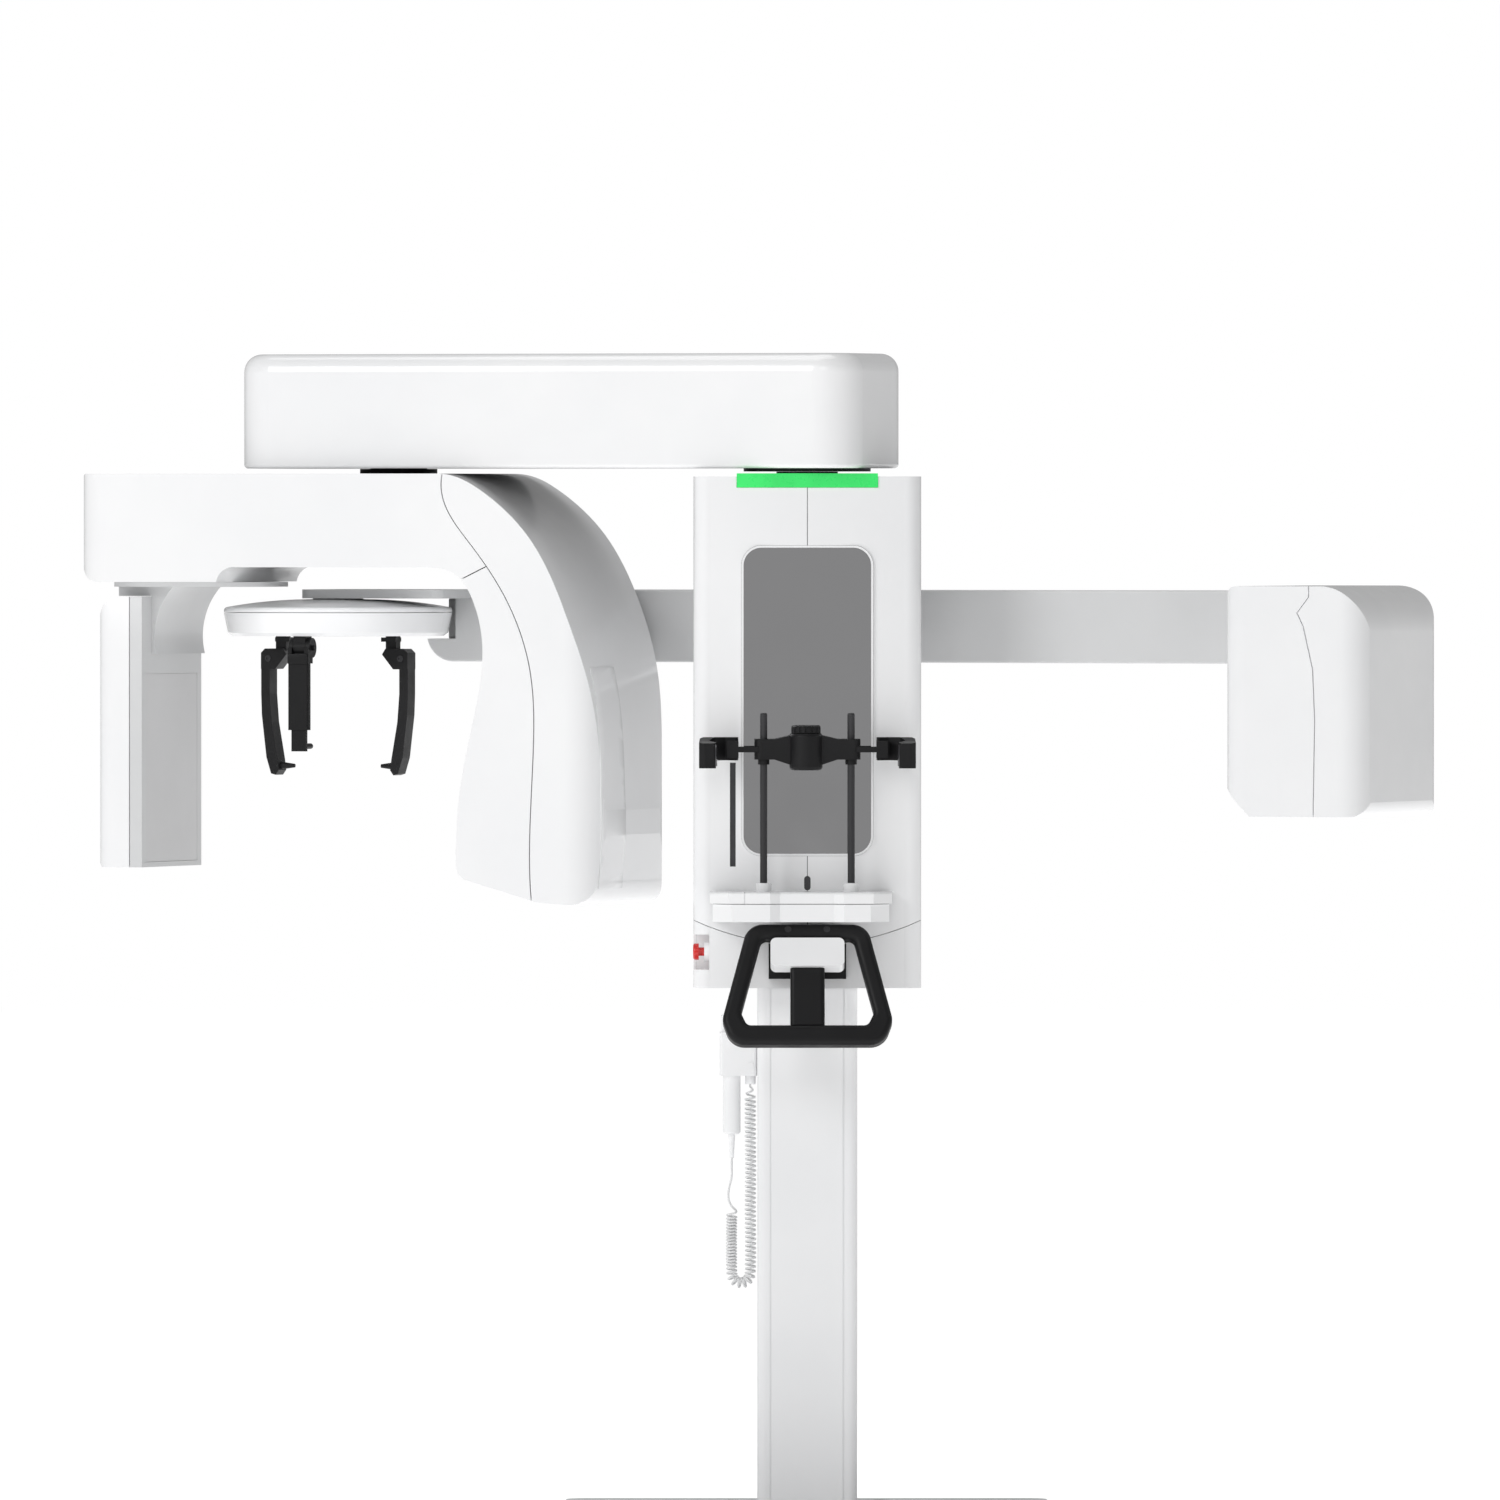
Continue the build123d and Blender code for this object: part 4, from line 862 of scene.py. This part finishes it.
@dataclass
class CurlyCord:
    """The exposure switch's curled lead, from its gland down and up to the handset.

    Every distance is in metres, and those of the tail are counted from the handset.
    """

    wire: float = 0.003
    turn_radius: float = 0.0067
    loose_pitch: float = 0.0064
    tight_pitch: float = 0.0043
    lead_in: float = 0.022
    lead_out: float = 0.036
    lead_stretch: float = 0.010
    tail: float = 0.086
    tail_ramp: float = 0.030
    tail_stretch: float = 0.16
    tail_power: float = 2.5
    tight_from: float = 0.165
    tight_ramp: float = 0.02
    straight_end: float = 0.028
    steps: int = 14
    longest_step: float = 0.006
    stride: float = 0.00005
    length: float = 2.75
    route: tuple[Point, ...] = (
        (-0.0795, -0.020, 0.607), (-0.0799, -0.020, 0.550), (-0.0791, -0.020, 0.492),
        (-0.0799, -0.020, 0.436), (-0.0791, -0.020, 0.380), (-0.0795, -0.020, 0.350),
        (-0.0797, -0.020, 0.338), (-0.0864, -0.020, 0.3292), (-0.0987, -0.020, 0.3292),
        (-0.1054, -0.020, 0.338), (-0.1058, -0.020, 0.350), (-0.1061, -0.020, 0.380),
        (-0.1056, -0.020, 0.429), (-0.1054, -0.020, 0.466), (-0.1056, -0.020, 0.504),
    )

    def spline(self, name: str, points: list[Point]) -> bpy.types.Object:
        """Makes a curve object of one smooth open spline.

        Args:
            name: name of the object.
            points: its control points.

        Returns:
            The curve object.
        """
        data = bpy.data.curves.new(name, "CURVE")
        data.dimensions = "3D"
        line = data.splines.new("NURBS")
        line.points.add(len(points) - 1)
        for knot, place in zip(line.points, points):
            knot.co = (*place, 1.0)
        line.order_u = 3
        line.use_endpoint_u = True
        line.resolution_u = 4
        piece = bpy.data.objects.new(name, data)
        bpy.context.scene.collection.objects.link(piece)
        return piece

    def walked(self) -> list[Vector]:
        """Reads points along the route's smooth line.

        Returns:
            Points from the gland to the handset.
        """
        guide = self.spline("cord_route", list(self.route))
        guide.data.splines[0].resolution_u = 64
        mesh = bpy.data.meshes.new_from_object(guide)
        points = [vertex.co.copy() for vertex in mesh.vertices]
        bpy.data.objects.remove(guide)
        return points

    def pitch(self, gone: float, total: float) -> float:
        """Gives the height of a turn at a place along the cord.

        Args:
            gone: distance from the gland along the route.
            total: length of the route.

        Returns:
            The pitch in metres.
        """
        left = total - gone
        if gone < self.lead_in:
            return self.loose_pitch + self.lead_stretch * (1.0 - gone / self.lead_in)
        if left < self.tail:
            opened = min(1.0, max(0.0, (self.tail - left) / self.tail_ramp))
            return self.tight_pitch + self.tail_stretch * opened ** self.tail_power
        share = min(1.0, max(0.0, (self.tight_from - left) / self.tight_ramp))
        return self.loose_pitch + (self.tight_pitch - self.loose_pitch) * share

    def swell(self, gone: float, total: float) -> float:
        """Gives the radius of the turns at a place along the cord.

        Args:
            gone: distance from the gland along the route.
            total: length of the route.

        Returns:
            The radius in metres.
        """
        left = total - gone
        rise = min(1.0, gone / self.lead_in)
        fall = min(1.0, max(0.0, (left - self.straight_end) / self.lead_out))
        return self.turn_radius * math.sin(rise * math.pi / 2) * math.sin(fall * math.pi / 2)

    def coiled(self) -> list[Point]:
        """Winds the cord's own points round the route.

        Returns:
            The control points of the curled spline.
        """
        line = self.walked()
        total = sum((b - a).length for a, b in zip(line, line[1:]))
        side = Vector(Facing.BACK.value)
        points: list[Point] = [self.route[0]]
        turned, gone, owed = 0.0, 0.0, 0.0
        for a, b in zip(line, line[1:]):
            along = b - a
            across = side.cross(along).normalized()
            pieces = max(1, int(along.length / self.stride))
            for piece in range(pieces):
                step = along.length / pieces
                gone += step
                share = 2 * math.pi * step / self.pitch(gone, total)
                turned += share
                owed += max(share * self.steps / (2 * math.pi), step / self.longest_step)
                if owed >= 1.0:
                    owed -= 1.0
                    reach = self.swell(gone, total)
                    offset = across * math.cos(turned) + side * math.sin(turned)
                    points.append(tuple(a + along * (piece + 1) / pieces + offset * reach))
        points.append(self.route[-1])
        return points

    def build(self, shelf: FinishShelf) -> None:
        """Makes the cord in place of the CAD cord, and lets it ride on the base.

        Args:
            shelf: the finishes.
        """
        cord = self.spline("exposure_cord", self.coiled())
        cord.data.bevel_depth = self.wire / 2
        cord.data.bevel_resolution = 2
        shelf.dress(cord, "cord")
        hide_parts("cord_lead", "cord_coil")
        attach(cord, "base")
        log.info("exposure cord wound")


@dataclass(frozen=True)
class SoftBox:
    """A square lamp: where it hangs, the point that it faces, its side and its watts."""

    name: str
    place: Point
    aim: Point
    size: float
    power: float


@dataclass
class Studio:
    """Floor, soft lights and camera."""

    floor_side: float = 60.0
    floor_tones: tuple[Colour, Colour] = ((0.87, 0.87, 0.87), (0.90, 0.90, 0.90))
    floor_patch: float = 0.8
    floor_detail: float = 3.0
    floor_rough: float = 0.7
    floor_glow: float = 0.72
    air_power: float = 0.33
    seen_power: float = 1.0
    lamps: tuple[SoftBox, ...] = (
        SoftBox("key_light", (-4.5, -4.5, 3.8), (-0.1, 0.0, 1.1), 2.6, 122.0),
        SoftBox("front_light", (-1.2, -7.0, 4.0), (-0.1, 0.0, 1.1), 2.4, 42.0),
        SoftBox("top_light", (-0.5, 0.5, 4.6), (-0.3, 0.0, 1.2), 2.4, 36.0),
    )
    camera_place: Point = (-0.080, -30.0, 1.42)
    camera_aim: Point = (-0.080, 0.0, 1.0745)
    lens: float = 514.3
    sensor: float = 36.0
    far_clip: float = 200.0

    def floor(self) -> None:
        """Lays a pale floor."""
        bpy.ops.object.select_all(action="DESELECT")
        bpy.ops.mesh.primitive_plane_add(size=self.floor_side)
        floor = bpy.context.object
        floor.name = "floor"
        bench = NodeBench("pale_floor")
        bench.toned(bench.noise(self.floor_patch, self.floor_detail), *self.floor_tones)
        bench.shader.inputs["Roughness"].default_value = self.floor_rough
        bench.shader.inputs["Emission Color"].default_value = WHITE
        bench.shader.inputs["Emission Strength"].default_value = self.floor_glow
        floor.data.materials.append(bench.material)

    def sky(self) -> None:
        """Surrounds the scene with an even pale light that is brighter to the eye."""
        world = bpy.data.worlds.new("studio_air")
        world.use_nodes = True
        tree = world.node_tree
        air = tree.nodes["Background"]
        air.inputs["Color"].default_value = WHITE
        air.inputs["Strength"].default_value = self.air_power
        seen = tree.nodes.new("ShaderNodeBackground")
        seen.inputs["Color"].default_value = WHITE
        seen.inputs["Strength"].default_value = self.seen_power
        mix = tree.nodes.new("ShaderNodeMixShader")
        path = tree.nodes.new("ShaderNodeLightPath")
        tree.links.new(path.outputs["Is Camera Ray"], mix.inputs["Fac"])
        tree.links.new(air.outputs["Background"], mix.inputs[1])
        tree.links.new(seen.outputs["Background"], mix.inputs[2])
        tree.links.new(mix.outputs["Shader"], tree.nodes["World Output"].inputs["Surface"])
        bpy.context.scene.world = world

    def hang(self, box: SoftBox) -> None:
        """Hangs one soft box.

        Args:
            box: the lamp's name, place, aim, side and power.
        """
        data = bpy.data.lights.new(box.name, "AREA")
        data.shape = "SQUARE"
        data.size = box.size
        data.energy = box.power
        lamp = bpy.data.objects.new(box.name, data)
        lamp.location = box.place
        heading = Vector(box.aim) - Vector(box.place)
        lamp.rotation_euler = heading.to_track_quat("-Z", "Y").to_euler()
        bpy.context.scene.collection.objects.link(lamp)

    def camera(self) -> None:
        """Sets up the long lens in front of the machine."""
        data = bpy.data.cameras.new("camera")
        data.lens = self.lens
        data.sensor_width = self.sensor
        data.clip_end = self.far_clip
        camera = bpy.data.objects.new("camera", data)
        camera.location = self.camera_place
        heading = Vector(self.camera_aim) - Vector(self.camera_place)
        camera.rotation_euler = heading.to_track_quat("-Z", "Y").to_euler()
        bpy.context.scene.collection.objects.link(camera)
        bpy.context.scene.camera = camera

    def build(self) -> None:
        """Sets the whole studio."""
        self.floor()
        self.sky()
        for box in self.lamps:
            self.hang(box)
        self.camera()
        view = bpy.context.scene.view_settings
        view.view_transform = "Standard"
        view.look = "None"


def main() -> None:
    """Builds the studio, the finishes and every added piece."""
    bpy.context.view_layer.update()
    Studio().build()
    shelf = FinishShelf(FINISHES)
    shelf.dress_nodes()
    CurlyCord().build(shelf)
    bench = Workbench(shelf)
    for trim in (CarriageTrim(), ColumnTrim(), ArmTrim(), PatientTrim()):
        trim.build(bench)


if __name__ == "__main__":
    main()
